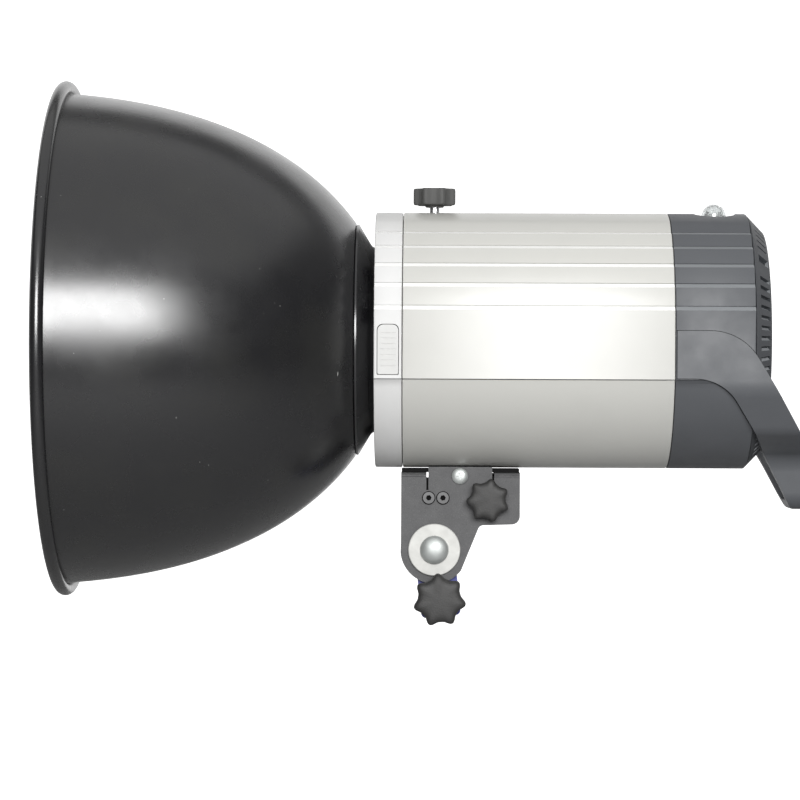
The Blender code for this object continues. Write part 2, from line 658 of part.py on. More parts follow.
def lamp_parts(head):
    """What makes the light: flash tube, modelling lamp in its socket, glass dome and the plate behind."""
    plate = turned("front_plate", [(-18.2, 18.4), (-18.2, 71.0), (-16.4, 71.0), (-16.4, 18.4)], "X", head,
                   "aluminium", sides=32)
    socket = [(-19.0, 14.0), (-19.0, 18.0), (16.0, 18.0), (16.0, 0.0), (10.0, 0.0), (10.0, 14.0)]
    turned("lamp_socket", socket, "X", head, "ceramic", sides=24)
    bulb = [(-58.0, 0.0), (-56.0, 9.0), (-50.0, 15.5), (-41.0, 18.0), (-31.0, 16.5), (-22.0, 13.4)]
    turned("modelling_lamp", bulb + [(9.5, 13.4), (9.5, 0.0)], "X", head, "clear", sides=24)
    glass = [(-20.2, 47.0), (-60.0, 46.0), (-74.0, 36.0), (-79.0, 18.0), (-80.0, 0.0)]
    inner = [(-77.6, 0.0), (-76.6, 17.4), (-72.2, 34.4), (-59.0, 43.8), (-20.2, 44.6)]
    turned("glass_dome", glass + inner, "X", head, "clear", sides=32)
    flash_tube(head)
    return plate


def flash_tube(head):
    """A round glass tube that nearly closes on itself, with two legs back to the plate."""
    ring = 32.0
    turns = [math.radians(-70.0 + 320.0 * i / 24) for i in range(25)]
    ring_points = [(-34.0, ring * math.sin(t), ring * math.cos(t)) for t in turns]
    legs = [[(x, y, z) for x in (-18.8, -25.0, -30.5)] for _, y, z in (ring_points[0], ring_points[-1])]
    points = legs[0] + ring_points[1:-1] + list(reversed(legs[1]))
    data = bpy.data.curves.new("flash_tube", "CURVE")
    data.dimensions = "3D"
    data.bevel_depth = 3.6 * MM
    data.bevel_resolution = 1
    data.use_fill_caps = True
    spline = data.splines.new("POLY")
    spline.points.add(len(points) - 1)
    for target, point in zip(spline.points, points):
        target.co = (*(Vector(point) * MM), 1.0)
    data.materials.append(material("clear"))
    made = bpy.data.objects.new("flash_tube", data)
    made.parent = head
    bpy.context.scene.collection.objects.link(made)


def inside_parts(head):
    """The power section: chassis, capacitors, choke, boards, ignition coil and fan."""
    box("chassis_plate", (-12.0, -50.0, -50.0), (138.0, 50.0, -48.0), head, "aluminium")
    for word, y in (("near", -25.0), ("far", 25.0)):
        rod(f"capacitor_{word}", 23.5, "X", 36.0, 122.0, head, "can_blue", at=(0.0, y, -23.0), sides=24)
    box("charging_choke", (-8.0, -20.0, -47.6), (32.0, 20.0, -19.0), head, "fibre")
    box("power_board", (-8.0, -50.0, 44.0), (126.0, 50.0, 45.6), head, "board_green")
    rod("ignition_coil", 9.0, "X", -8.0, 16.0, head, "ceramic", at=(0.0, 36.0, 10.0), sides=16)
    box("control_board", (174.0, -48.0, -18.0), (175.6, 48.0, 54.0), head, "board_green")
    frame = box("fan_frame", (126.5, -30.0, -30.0), (139.5, 30.0, 30.0), head, "panel_black")
    boolean(frame, rod("cut_fan", 28.0, "X", 120.0, 150.0, head, sides=32))
    fan_rotor(head)


def fan_rotor(head):
    """The cooling fan's hub and blades, in one moulding."""
    rotor = rod("fan_rotor", 10.0, "X", 128.0, 138.0, head, "slate_dark", sides=21)
    for i in range(7):
        blade = rotated([(-1.0, 8.0), (1.0, 8.0), (7.0, 26.5), (4.0, 26.9)], 360.0 * i / 7)
        boolean(rotor, prism(f"add_blade_{i}", blade, "X", 129.0, 137.0, head), "UNION")


def control_panel(head):
    """The rear panel with a cut-out for each control and socket."""
    low, high = PANEL_FACE - 0.8 - PANEL_THICKNESS, PANEL_FACE - 0.8
    panel = rod("control_panel", PANEL_RADIUS, "X", low, high, head, "panel_black", sides=64)
    behind, ahead = low - 5.0, high + 5.0
    round_holes = (
        ("dial", DIAL_AT, 3.4), ("test", TEST_AT, 5.4), ("model", MODEL_AT, 5.4), ("cell", CELL_AT, 5.4),
        ("sync", SYNC_AT, 5.3), ("fuse", FUSE_AT, 6.6),
    )
    for name, (y, z), radius in round_holes:
        boolean(panel, rod(f"cut_panel_{name}", radius, "X", behind, ahead, head, at=(0.0, y, z), sides=16))
    square_holes = (
        ("display", DISPLAY_AT, 34.6, 14.6),
        ("inlet", INLET_AT, 27.6, 20.6),
        ("switch", SWITCH_AT, 15.0, 21.6),
    )
    for name, (y, z), across_y, up_z in square_holes:
        low = (behind, y - across_y / 2, z - up_z / 2)
        high = (ahead, y + across_y / 2, z + up_z / 2)
        boolean(panel, box(f"cut_panel_{name}", low, high, head))
    return panel


def panel_controls(head):
    """Everything that sits in the rear panel."""
    inside = PANEL_FACE - 0.8 - PANEL_THICKNESS
    for name, (y, z) in (("test_button", TEST_AT), ("model_button", MODEL_AT), ("cell_button", CELL_AT)):
        profile = [(inside - 4.0, 0.0), (inside - 4.0, 7.0), (inside - 2.4, 7.0), (inside - 2.4, 5.0),
                   (PANEL_FACE + 1.2, 5.0), (PANEL_FACE + 1.8, 4.2), (PANEL_FACE + 1.8, 0.0)]
        turned(name, profile, "X", head, "button_grey", at=(0.0, y, z), sides=20)
    dial = [(inside - 9.0, 0.0), (inside - 9.0, 3.0), (PANEL_FACE, 3.0), (PANEL_FACE, 12.0),
            (PANEL_FACE + 6.0, 11.0), (PANEL_FACE + 6.6, 10.4), (PANEL_FACE + 6.6, 0.0)]
    turned("power_dial", dial, "X", head, "knob_black", at=(0.0, *DIAL_AT), sides=28)
    display = box("display_window", (inside - 3.0, -17.0, -7.0), (PANEL_FACE - 0.8, 17.0, 7.0), head, "red",
                  at=(0.0, *DISPLAY_AT))
    sync = [(inside - 12.0, 3.3), (inside - 12.0, 5.0), (PANEL_FACE - 0.6, 5.0), (PANEL_FACE - 0.6, 6.4),
            (PANEL_FACE + 0.4, 6.4), (PANEL_FACE + 0.4, 3.3)]
    turned("sync_socket", sync, "X", head, "steel", at=(0.0, *SYNC_AT), sides=20)
    rod("fuse_holder", 6.2, "X", inside - 20.0, PANEL_FACE - 2.9, head, "panel_black", at=(0.0, *FUSE_AT))
    cap = [(PANEL_FACE - 2.5, 0.0), (PANEL_FACE - 2.5, 6.0), (PANEL_FACE + 1.6, 6.0)]
    cap += [(PANEL_FACE + 2.2, 5.4), (PANEL_FACE + 2.2, 0.0)]
    turned("fuse_cap", cap, "X", head, "knob_black", at=(0.0, *FUSE_AT), sides=20)
    mains_inlet(head, inside)
    power_switch(head, inside)
    return display


def mains_inlet(head, inside):
    """The appliance inlet and its three blades on one contact block."""
    at = (0.0, *INLET_AT)
    low, high = (inside - 20.0, -13.5, -10.0), (PANEL_FACE + 0.8, 13.5, 10.0)
    inlet = box("mains_inlet", low, high, head, "panel_black", at)
    low, high = (inside - 15.0, -11.8, -8.0), (PANEL_FACE + 2.0, 11.8, 8.0)
    boolean(inlet, box("cut_inlet", low, high, head, at=at))
    back = inside - 14.6
    contacts = box("inlet_contacts", (back, -9.0, -5.0), (back + 1.5, 9.0, 5.0), head, "steel", at)
    for i, (y, z) in enumerate(((0.0, 2.6), (-7.0, -2.2), (7.0, -2.2))):
        low, high = (back + 1.0, y - 1.0, z - 2.0), (back + 11.5, y + 1.0, z + 2.0)
        blade = box(f"add_blade_pin_{i}", low, high, head, at=at)
        boolean(contacts, blade, "UNION")


def power_switch(head, inside):
    """The rocker switch: its body and the rocker, resting with one end pressed."""
    at = (0.0, *SWITCH_AT)
    low, high = (inside - 16.0, -7.2, -10.5), (PANEL_FACE + 0.2, 7.2, 10.5)
    body = box("switch_body", low, high, head, "panel_black", at)
    low, high = (inside - 9.0, -5.8, -9.2), (PANEL_FACE + 2.0, 5.8, 9.2)
    boolean(body, box("cut_switch", low, high, head, at=at))
    pivot = (PANEL_FACE - 4.0, *SWITCH_AT)
    outline = [(-2.5, -3.0), (-2.5, 3.0), (3.6, 8.4), (5.6, 8.4), (4.6, 0.0), (5.6, -8.4), (3.6, -8.4)]
    rocker = prism("power_rocker", outline, "Y", -5.4, 5.4, head, "knob_black", pivot)
    rocker.rotation_euler = (0.0, ROCKER_TILT, 0.0)


def build():
    """The whole strobe, from the stand socket up."""
    for old in tuple(bpy.data.objects):
        bpy.data.objects.remove(old, do_unlink=True)
    receiver = empty("receiver_frame", (0.0, 0.0, 0.0), -LEAN)
    pivot = (-PIVOT_HEIGHT * math.sin(LEAN), 0.0, PIVOT_HEIGHT * math.cos(LEAN))
    head = empty("head_frame", (pivot[0] - PIVOT_X, 0.0, pivot[2] + PIVOT_DROP))
    stand_receiver(receiver)
    stand_clamp(receiver)
    friction_discs(receiver)
    reflector_bowl(head)
    reflector_neck(head)
    front_ring(head)
    latch_button(head)
    casing(head)
    rear_housing(head)
    vent_ring(head)
    carry_handle(head)
    photocell(head)
    top_clamp(head)
    tilt_bracket(head)
    umbrella_block(head)
    bracket_screws(head)
    pivot_parts(head)
    umbrella_clamp(head)
    lamp_parts(head)
    inside_parts(head)
    control_panel(head)
    panel_controls(head)


build()
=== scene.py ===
"""The looks of the monolight strobe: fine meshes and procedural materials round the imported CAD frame."""

import math

import bmesh
import bpy
from mathutils import Matrix, Vector


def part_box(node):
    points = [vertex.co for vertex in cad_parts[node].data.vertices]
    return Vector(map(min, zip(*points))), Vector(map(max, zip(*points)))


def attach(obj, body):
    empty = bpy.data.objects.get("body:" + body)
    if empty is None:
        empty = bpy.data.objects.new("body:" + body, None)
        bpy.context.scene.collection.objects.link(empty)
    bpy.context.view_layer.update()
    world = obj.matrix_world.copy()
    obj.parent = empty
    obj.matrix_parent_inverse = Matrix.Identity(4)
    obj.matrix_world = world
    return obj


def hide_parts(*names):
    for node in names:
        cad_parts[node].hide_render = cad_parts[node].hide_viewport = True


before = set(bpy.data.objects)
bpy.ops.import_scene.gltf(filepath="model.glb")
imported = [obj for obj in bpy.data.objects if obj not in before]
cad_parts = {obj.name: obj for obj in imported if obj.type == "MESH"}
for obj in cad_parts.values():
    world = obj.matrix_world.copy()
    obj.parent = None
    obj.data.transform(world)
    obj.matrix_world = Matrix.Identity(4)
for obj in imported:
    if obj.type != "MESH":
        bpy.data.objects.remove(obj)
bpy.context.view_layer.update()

MM = 0.001
ORIGIN = (0.0, 0.0, 0.0)
SHARP = 32.0

# The head's pieces are drawn in millimetres from the strobe axis, the receiver's from the socket's mouth.
RING_FRONT, RING_REAR, SHELL_REAR, HOUSING_REAR = -35.4, -18.9, 141.5, 188.4
PANEL_FACE, VENT_FACE, VENT_INNER = 191.7, 198.6, 65.6
BODY_RADIUS, STEP_HEIGHT, SIDE_FLAT, PARTING_Z = 77.5, 1.8, 75.6, -24.0
DISH_RADIUS, DISH_START, DISH_LENGTH, DISH_POWER = 150.5, -280.0, 256.0, 2.6
CREASE, CREASE_DEPTH = 0.4, 0.6
STEP_ANGLES = (12.3, 22.8, 33.0, 43.6, 54.0)
TOP_START = STEP_ANGLES[-1] + 12.0
WALL_RADIUS = 73.3
LATCH_FACE = -75.65
CHEEK_INNER, CHEEK_OUTER = 13.5, 16.5
BRACKET_LEFT, BRACKET_RIGHT, BRACKET_TOP = -19.5, 52.3, -82.0
TAB_LEFT, TAB_RIGHT, SLIT = -3.0, 35.5, 1.3
PIVOT_AT, PIVOT_BORE = (0.7, 0.0, -127.0), 4.35
PIVOT_HEIGHT, CLAMP_HEIGHT = 41.0, 11.0
PAN_SCREW_AT = (16.0, 0.0, -82.4)
SOCKET_SCREWS = (("front", (-2.8, 0.0, -95.6)), ("rear", (5.8, 0.0, -95.6)))
DIAL_AT = (0.0, 0.0, 2.0)
DISPLAY_Z = 42.0
CELL_AT = (170.0, 0.0, 0.0)
UMBRELLA_AT = (32.9, 0.0, -96.8)
HANDLE_BOTTOM = -101.7

dish_low, dish_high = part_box("reflector_bowl")
ring_low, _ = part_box("front_ring")
HEAD = Vector((ring_low.x - RING_FRONT * MM, 0.0, (dish_low.z + dish_high.z) / 2))
PIVOT = HEAD + Vector(PIVOT_AT) * MM
LEAN = math.atan2(-PIVOT.x, PIVOT.z)


# ---------------------------------------------------------------- mesh tools


def polar(radius, degrees, centre=(0.0, 0.0)):
    """A point at a radius and an angle from a centre."""
    turn = math.radians(degrees)
    return (centre[0] + radius * math.cos(turn), centre[1] + radius * math.sin(turn))


def arc(radius, start, end, steps, centre=(0.0, 0.0)):
    """Points along an arc, both ends included."""
    return [polar(radius, start + (end - start) * i / steps, centre) for i in range(steps + 1)]


def circle(radius, sides, centre=(0.0, 0.0)):
    """Points round a circle."""
    return [polar(radius, 360.0 * i / sides, centre) for i in range(sides)]


def box_outline(u, v, half_u, half_v):
    """A rectangle about a middle."""
    low_u, high_u, low_v, high_v = u - half_u, u + half_u, v - half_v, v + half_v
    return [(low_u, low_v), (high_u, low_v), (high_u, high_v), (low_u, high_v)]


def rounded(corners, steps=6):
    """A closed outline from (u, v, radius) corners, each with a radius turned into an arc."""
    points = []
    for i, (u, v, radius) in enumerate(corners):
        if radius == 0.0:
            points.append((u, v))
            continue
        here = Vector((u, v))
        to_last = (Vector(corners[i - 1][:2]) - here).normalized()
        to_next = (Vector(corners[(i + 1) % len(corners)][:2]) - here).normalized()
        half = to_last.angle(to_next) / 2
        centre = here + (to_last + to_next).normalized() * (radius / math.sin(half))
        first = here + to_last * (radius / math.tan(half)) - centre
        sweep = first.angle_signed(here + to_next * (radius / math.tan(half)) - centre)
        for j in range(steps + 1):
            spoke = first.copy()
            spoke.rotate(Matrix.Rotation(-sweep * j / steps, 2))
            points.append(tuple(centre + spoke))
    return points


def rotated(outline, degrees):
    """An outline turned about its origin."""
    c, s = polar(1.0, degrees)
    return [(u * c - v * s, u * s + v * c) for u, v in outline]


def in_space(axis, u, v, along):
    """A point given by two coordinates across an axis and one along it."""
    return {"X": (along, u, v), "Y": (u, along, v), "Z": (u, v, along)}[axis]


HEAD_PLACE = Matrix.Translation(HEAD) @ Matrix.Scale(MM, 4)
RECEIVER_PLACE = Matrix.Rotation(-LEAN, 4, "Y") @ Matrix.Scale(MM, 4)


def shade(mesh, sharp=SHARP):
    """Smooths a mesh's faces except across edges sharper than an angle."""
    mesh.shade_smooth()
    mesh.set_sharp_from_angle(angle=math.radians(sharp))


def place_object(name, data):
    """Links a new object for a mesh, light or camera."""
    made = bpy.data.objects.new(name, data)
    bpy.context.scene.collection.objects.link(made)
    return made


def finish(name, bm, place, at, materials, sharp=SHARP):
    """Turns a bmesh in millimetres into an object in metres with its mesh where the CAD frame says."""
    bmesh.ops.remove_doubles(bm, verts=bm.verts, dist=1e-4)
    bmesh.ops.recalc_face_normals(bm, faces=bm.faces)
    mesh = bpy.data.meshes.new(name)
    bm.to_mesh(mesh)
    bm.free()
    mesh.transform(place @ Matrix.Translation(at))
    for item in materials if isinstance(materials, (list, tuple)) else [materials]:
        mesh.materials.append(item)
    shade(mesh, sharp)
    return place_object(name, mesh)


def prism(name, outline, axis, low, high, materials, place=HEAD_PLACE, at=ORIGIN, holes=()):
    """An outline, with any holes, extruded from low to high along an axis."""
    bm = bmesh.new()
    loops = []
    for loop in (outline, *holes):
        ring = [bm.verts.new(in_space(axis, u, v, low)) for u, v in loop]
        loops += [bm.edges.new(pair) for pair in zip(ring, ring[1:] + ring[:1])]
    if holes:
        bmesh.ops.triangle_fill(bm, edges=loops, use_beauty=True)
    else:
        bmesh.ops.contextual_create(bm, geom=loops)
    grown = bmesh.ops.extrude_face_region(bm, geom=list(bm.faces), use_keep_orig=True)
    moved = [item for item in grown["geom"] if isinstance(item, bmesh.types.BMVert)]
    bmesh.ops.translate(bm, verts=moved, vec=in_space(axis, 0.0, 0.0, high - low))
    return finish(name, bm, place, at, materials)


def turned(name, profile, axis, materials, sides=64, place=HEAD_PLACE, at=ORIGIN, slots=None, sharp=SHARP):
    """A closed profile of (along, radius) points spun round an axis; slots gives each segment's material."""
    bm = bmesh.new()
    count = len(profile)
    rings = []
    for along, radius in profile:
        if radius < 1e-6:
            rings.append([bm.verts.new(in_space(axis, 0.0, 0.0, along))])
        else:
            rings.append([bm.verts.new(in_space(axis, u, v, along)) for u, v in circle(radius, sides)])
    for i in range(count):
        here, there = rings[i], rings[(i + 1) % count]
        if len(here) == 1 and len(there) == 1:
            continue
        for j in range(sides):
            k = (j + 1) % sides
            corners = [ring[n % len(ring)] for ring, n in ((here, j), (here, k), (there, k), (there, j))]
            face = bm.faces.new(list(dict.fromkeys(corners)))
            face.material_index = slots[i] if slots else 0
    return finish(name, bm, place, at, materials, sharp)


def loft(name, rings, materials, place=HEAD_PLACE, at=ORIGIN, closed=False, sharp=SHARP):
    """A skin through rings of points with equal counts, capped at both ends or joined end to end."""
    bm = bmesh.new()
    made = [[bm.verts.new(point) for point in ring] for ring in rings]
    pairs = list(zip(made, made[1:])) + ([(made[-1], made[0])] if closed else [])
    for here, there in pairs:
        for j in range(len(here)):
            k = (j + 1) % len(here)
            bm.faces.new((here[j], here[k], there[k], there[j]))
    if not closed:
        bm.faces.new(made[0])
        bm.faces.new(list(reversed(made[-1])))
    return finish(name, bm, place, at, materials, sharp)


def bevel(made, width, segments=2, angle=SHARP):
    """Rounds a piece's hard edges; width in millimetres."""
    modifier = made.modifiers.new("edges", "BEVEL")
    modifier.width = width * MM
    modifier.segments = segments
    modifier.limit_method = "ANGLE"
    modifier.angle_limit = math.radians(angle)
    modifier.harden_normals = True
    modifier.miter_outer = "MITER_ARC"
    return made


def carve(made, tool, operation="DIFFERENCE"):
    """Cuts or joins a tool into a piece for good, and drops the tool."""
    modifier = made.modifiers.new("carve", "BOOLEAN")
    modifier.object = tool
    modifier.operation = operation
    modifier.solver = "EXACT"
    graph = bpy.context.evaluated_depsgraph_get()
    mesh = bpy.data.meshes.new_from_object(made.evaluated_get(graph))
    made.modifiers.clear()
    made.data = mesh
    bpy.data.objects.remove(tool, do_unlink=True)
    shade(mesh)
    return made


def cut(made, outline, axis, low, high, place=HEAD_PLACE, at=ORIGIN, operation="DIFFERENCE"):
    """Cuts an extruded outline out of a piece, or keeps only what lies inside it."""
    return carve(made, prism("tool", outline, axis, low, high, made.data.materials[0], place, at), operation)


def join(name, parts):
    """Several pieces made into one."""
    graph = bpy.context.evaluated_depsgraph_get()
    bm = bmesh.new()
    materials = list(parts[0].data.materials)
    for part in parts:
        evaluated = part.evaluated_get(graph)
        bm.from_mesh(evaluated.to_mesh())
        evaluated.to_mesh_clear()
    mesh = bpy.data.meshes.new(name)
    bm.to_mesh(mesh)
    bm.free()
    for item in materials:
        mesh.materials.append(item)
    for part in parts:
        bpy.data.objects.remove(part, do_unlink=True)
    shade(mesh)
    return place_object(name, mesh)


def head_middle(face):
    """A face's middle in millimetres from the strobe axis."""
    return (face.center - HEAD) / MM


def settle(made, body, slot, *nodes):
    """Rides a piece on its body and lets it stand for CAD nodes, which it hides; its slot is not used."""
    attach(made, body)
    if nodes:
        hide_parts(*nodes)
    return made


# ---------------------------------------------------------------- materials


class Finish:
    """A Principled material with a few procedural layers in object space."""

    def __init__(self, name, colour, roughness, metallic=0.0, coat=0.0, transmission=0.0, ior=1.5,
                 specular=0.5):
        self.material = bpy.data.materials.new(name)
        self.material.use_nodes = True
        self.nodes = self.material.node_tree.nodes
        self.links = self.material.node_tree.links
        self.shader = self.nodes["Principled BSDF"]
        self.set("Metallic", metallic)
        self.set("Coat Weight", coat)
        self.set("Transmission Weight", transmission)
        self.set("IOR", ior)
        self.set("Specular IOR Level", specular)
        self.set("Base Color", (*colour, 1.0))
        self.set("Roughness", roughness)
        self.colour = (*colour, 1.0)
        self.rough = roughness
        self.normal = None
        self.where = self.nodes.new("ShaderNodeTexCoord").outputs["Object"]

    def set(self, name, value):
        """Sets one of the shader's own sockets."""
        self.shader.inputs[name].default_value = value

    def noise(self, size, detail=3.0, rough=0.55, stretch=None):
        """Noise with features of about size millimetres."""
        made = self.nodes.new("ShaderNodeTexNoise")
        made.inputs["Scale"].default_value = 1.0 / (size * MM)
        made.inputs["Detail"].default_value = detail
        made.inputs["Roughness"].default_value = rough
        self.links.new(self.stretched(stretch), made.inputs["Vector"])
        return made.outputs["Fac"]

    def cells(self, size, stretch=None):
        """Distance from the middles of cells of about size millimetres."""
        made = self.nodes.new("ShaderNodeTexVoronoi")
        made.inputs["Scale"].default_value = 1.0 / (size * MM)
        self.links.new(self.stretched(stretch), made.inputs["Vector"])
        return made.outputs["Distance"]

    def stretched(self, scale):
        """Object coordinates scaled along each axis."""
        if scale is None:
            return self.where
        mapping = self.nodes.new("ShaderNodeMapping")
        mapping.inputs["Scale"].default_value = scale
        self.links.new(self.where, mapping.inputs["Vector"])
        return mapping.outputs["Vector"]

    def ramp(self, value, low, high):
        """Maps a range of a value to 0 to 1, clamped."""
        made = self.nodes.new("ShaderNodeMapRange")
        made.inputs["From Min"].default_value = low
        made.inputs["From Max"].default_value = high
        self.links.new(value, made.inputs["Value"])
        return made.outputs["Result"]

    def put(self, value, socket):
        """Links an output to a socket, or sets a plain value on it."""
        if isinstance(value, bpy.types.NodeSocket):
            self.links.new(value, socket)
        else:
            socket.default_value = value

    def maths(self, operation, *values):
        """A Math node over outputs or plain values."""
        made = self.nodes.new("ShaderNodeMath")
        made.operation = operation
        for value, socket in zip(values, made.inputs):
            self.put(value, socket)
        return made

    def tint(self, mask, colour, strength=1.0):
        """Lays a colour over the base where a mask is."""
        mix = self.nodes.new("ShaderNodeMix")
        mix.data_type = "RGBA"
        self.put(self.maths("MULTIPLY", mask, strength).outputs[0], mix.inputs["Factor"])
        self.put(self.colour, mix.inputs["A"])
        self.put((*colour, 1.0), mix.inputs["B"])
        self.colour = mix.outputs["Result"]
        self.links.new(self.colour, self.shader.inputs["Base Color"])

    def shift_roughness(self, mask, amount):
        """Adds a mask times an amount to the roughness."""
        made = self.maths("MULTIPLY_ADD", mask, amount, self.rough)
        made.use_clamp = True
        self.rough = made.outputs[0]
        self.links.new(self.rough, self.shader.inputs["Roughness"])

    def bump(self, height, depth, strength=1.0):
        """Adds relief of about depth millimetres."""
        made = self.nodes.new("ShaderNodeBump")
        made.inputs["Distance"].default_value = depth * MM
        made.inputs["Strength"].default_value = strength
        self.links.new(height, made.inputs["Height"])
        if self.normal is not None:
            self.links.new(self.normal, made.inputs["Normal"])
        self.normal = made.outputs["Normal"]
        self.links.new(self.normal, self.shader.inputs["Normal"])

    def edge_wear(self, colour, strength=0.5, width=0.5):
        """Lightens the edges within width millimetres, broken up by noise."""
        soft = self.nodes.new("ShaderNodeBevel")
        soft.samples = 4
        soft.inputs["Radius"].default_value = width * MM
        geometry = self.nodes.new("ShaderNodeNewGeometry")
        turn = self.nodes.new("ShaderNodeVectorMath")
        turn.operation = "DOT_PRODUCT"
        self.links.new(soft.outputs["Normal"], turn.inputs[0])
        self.links.new(geometry.outputs["Normal"], turn.inputs[1])
        edge = self.ramp(turn.outputs["Value"], 0.985, 0.86)
        broken = self.ramp(self.noise(2.5, 4.0), 0.48, 0.6)
        self.tint(self.maths("MULTIPLY", edge, broken).outputs[0], colour, strength)

    def specks(self, size, share, colour, strength=1.0, stretch=None):
        """Small spots: share is how much of each cell is filled."""
        spots = self.ramp(self.cells(size, stretch=stretch), share, share * 0.6)
        some = self.ramp(self.noise(size * 3.0, 1.0), 0.6, 0.64)
        self.tint(self.maths("MULTIPLY", spots, some).outputs[0], colour, strength)


def paint_black():
    """Satin black stove paint on spun metal, with faint spinning lines, dust and fine scratches."""
    made = Finish("black_paint", (0.008, 0.008, 0.009), 0.24, specular=0.85)
    made.shift_roughness(made.ramp(made.noise(30.0, 4.0), 0.3, 0.7), 0.07)
    made.bump(made.noise(0.9, 2.0), 0.008, 0.5)
    made.tint(made.ramp(made.noise(45.0, 3.0), 0.45, 0.75), (0.013, 0.013, 0.012), 0.7)
    made.specks(5.0, 0.05, (0.5, 0.5, 0.48), 0.8)
    made.specks(13.0, 0.04, (0.5, 0.5, 0.48), 0.8, (1.0, 1.0, 0.22))
    return made.material


def dish_silver():
    """The pebbled silver inside of the dish."""
    made = Finish("dish_silver", (0.80, 0.80, 0.79), 0.30, metallic=1.0)
    made.bump(made.cells(3.2), 0.5, 0.7)
    made.shift_roughness(made.ramp(made.noise(20.0, 3.0), 0.3, 0.7), 0.10)
    made.tint(made.ramp(made.noise(35.0, 2.0), 0.4, 0.8), (0.70, 0.70, 0.69), 0.5)
    return made.material


def paint_silver(name, colour):
    """Silver-white paint on the casing shells."""
    made = Finish(name, colour, 0.38, specular=1.0)
    made.bump(made.noise(0.7, 2.0), 0.008, 0.5)
    made.shift_roughness(made.ramp(made.noise(22.0, 4.0), 0.3, 0.7), 0.05)
    made.tint(made.ramp(made.noise(38.0, 5.0, 0.6), 0.5, 0.8), tuple(c * 0.92 for c in colour), 0.5)
    made.specks(11.0, 0.035, (0.25, 0.24, 0.22), 0.5)
    made.specks(26.0, 0.03, (0.22, 0.21, 0.19), 0.5, (0.3, 1.0, 1.0))
    return made.material


def paint_grey():
    """Fine-textured light grey paint on the front casting."""
    made = Finish("grey_paint", (0.56, 0.56, 0.555), 0.5, specular=0.4)
    made.bump(made.noise(0.55, 3.0), 0.03, 0.6)
    made.shift_roughness(made.ramp(made.noise(14.0, 4.0), 0.3, 0.7), 0.08)
    made.tint(made.ramp(made.noise(25.0, 4.0), 0.5, 0.8), (0.51, 0.51, 0.50), 0.6)
    made.specks(6.0, 0.05, (0.36, 0.36, 0.34), 0.4)
    return made.material


def moulded(name, colour, roughness, grain=0.5, depth=0.03, lighter=1.35):
    """A moulded plastic with a fine grain and rubbed edges."""
    made = Finish(name, colour, roughness, specular=0.5)
    made.bump(made.noise(grain, 3.0), depth, 0.55)
    made.shift_roughness(made.ramp(made.noise(16.0, 4.0), 0.3, 0.7), 0.12)
    pale = tuple(min(1.0, c * lighter + 0.01) for c in colour)
    made.tint(made.ramp(made.noise(28.0, 4.0), 0.45, 0.8), pale, 0.35)
    made.edge_wear(tuple(min(1.0, c * 1.6 + 0.02) for c in colour), 0.4)
    made.specks(9.0, 0.03, tuple(min(1.0, c * 2.0 + 0.06) for c in colour), 0.4)
    return made.material


def powder_coat():
    """The bracket's grained dark grey powder coat, with fine light grains."""
    made = Finish("bracket_paint", (0.078, 0.078, 0.080), 0.6, specular=0.45)
    made.bump(made.noise(0.45, 4.0, 0.7), 0.07, 0.7)
    made.tint(made.ramp(made.noise(0.42, 2.0), 0.56, 0.7), (0.15, 0.15, 0.15), 0.6)
    made.tint(made.ramp(made.noise(0.6, 3.0), 0.42, 0.3), (0.042, 0.042, 0.044), 0.6)
    made.edge_wear((0.20, 0.20, 0.20), 0.6, 0.8)
    made.shift_roughness(made.ramp(made.noise(9.0, 3.0), 0.3, 0.7), 0.1)
    return made.material


def matt_black(name, colour):
    """Dull black with hardly any gloss."""
    made = Finish(name, (colour, colour, colour), 0.8, specular=0.1)
    made.bump(made.noise(0.5, 3.0), 0.02, 0.5)
    made.shift_roughness(made.ramp(made.noise(9.0, 3.0), 0.3, 0.7), 0.08)
    return made.material


def metal(name, colour, roughness, size=0.35, streak=None, depth=0.02, stain=0.7, metallic=1.0):
    """A bare or plated metal with fine marks."""
    made = Finish(name, colour, roughness, metallic)
    made.bump(made.noise(size, 3.0, 0.6, streak), depth, 0.6)
    made.shift_roughness(made.ramp(made.noise(5.0, 4.0), 0.3, 0.7), 0.16)
    made.tint(made.ramp(made.noise(7.0, 4.0), 0.45, 0.8), tuple(c * stain for c in colour), 0.5)
    return made.material


def glassy(name, colour, roughness, transmission=1.0, ior=1.45):
    """Clear glass or plastic."""
    made = Finish(name, colour, roughness, transmission=transmission, ior=ior)
    made.bump(made.noise(4.0, 2.0), 0.01, 0.4)
    made.shift_roughness(made.ramp(made.noise(6.0, 3.0), 0.4, 0.8), 0.05)
    return made.material


def circuit_board():
    """Green lacquered board with copper tracks."""
    made = Finish("board", (0.02, 0.13, 0.06), 0.35, coat=0.3)
    made.tint(made.ramp(made.cells(3.0), 0.2, 0.12), (0.35, 0.3, 0.1), 0.6)
    made.bump(made.cells(3.0), 0.05, 0.3)
    made.shift_roughness(made.noise(8.0, 3.0), 0.15)
    return made.material


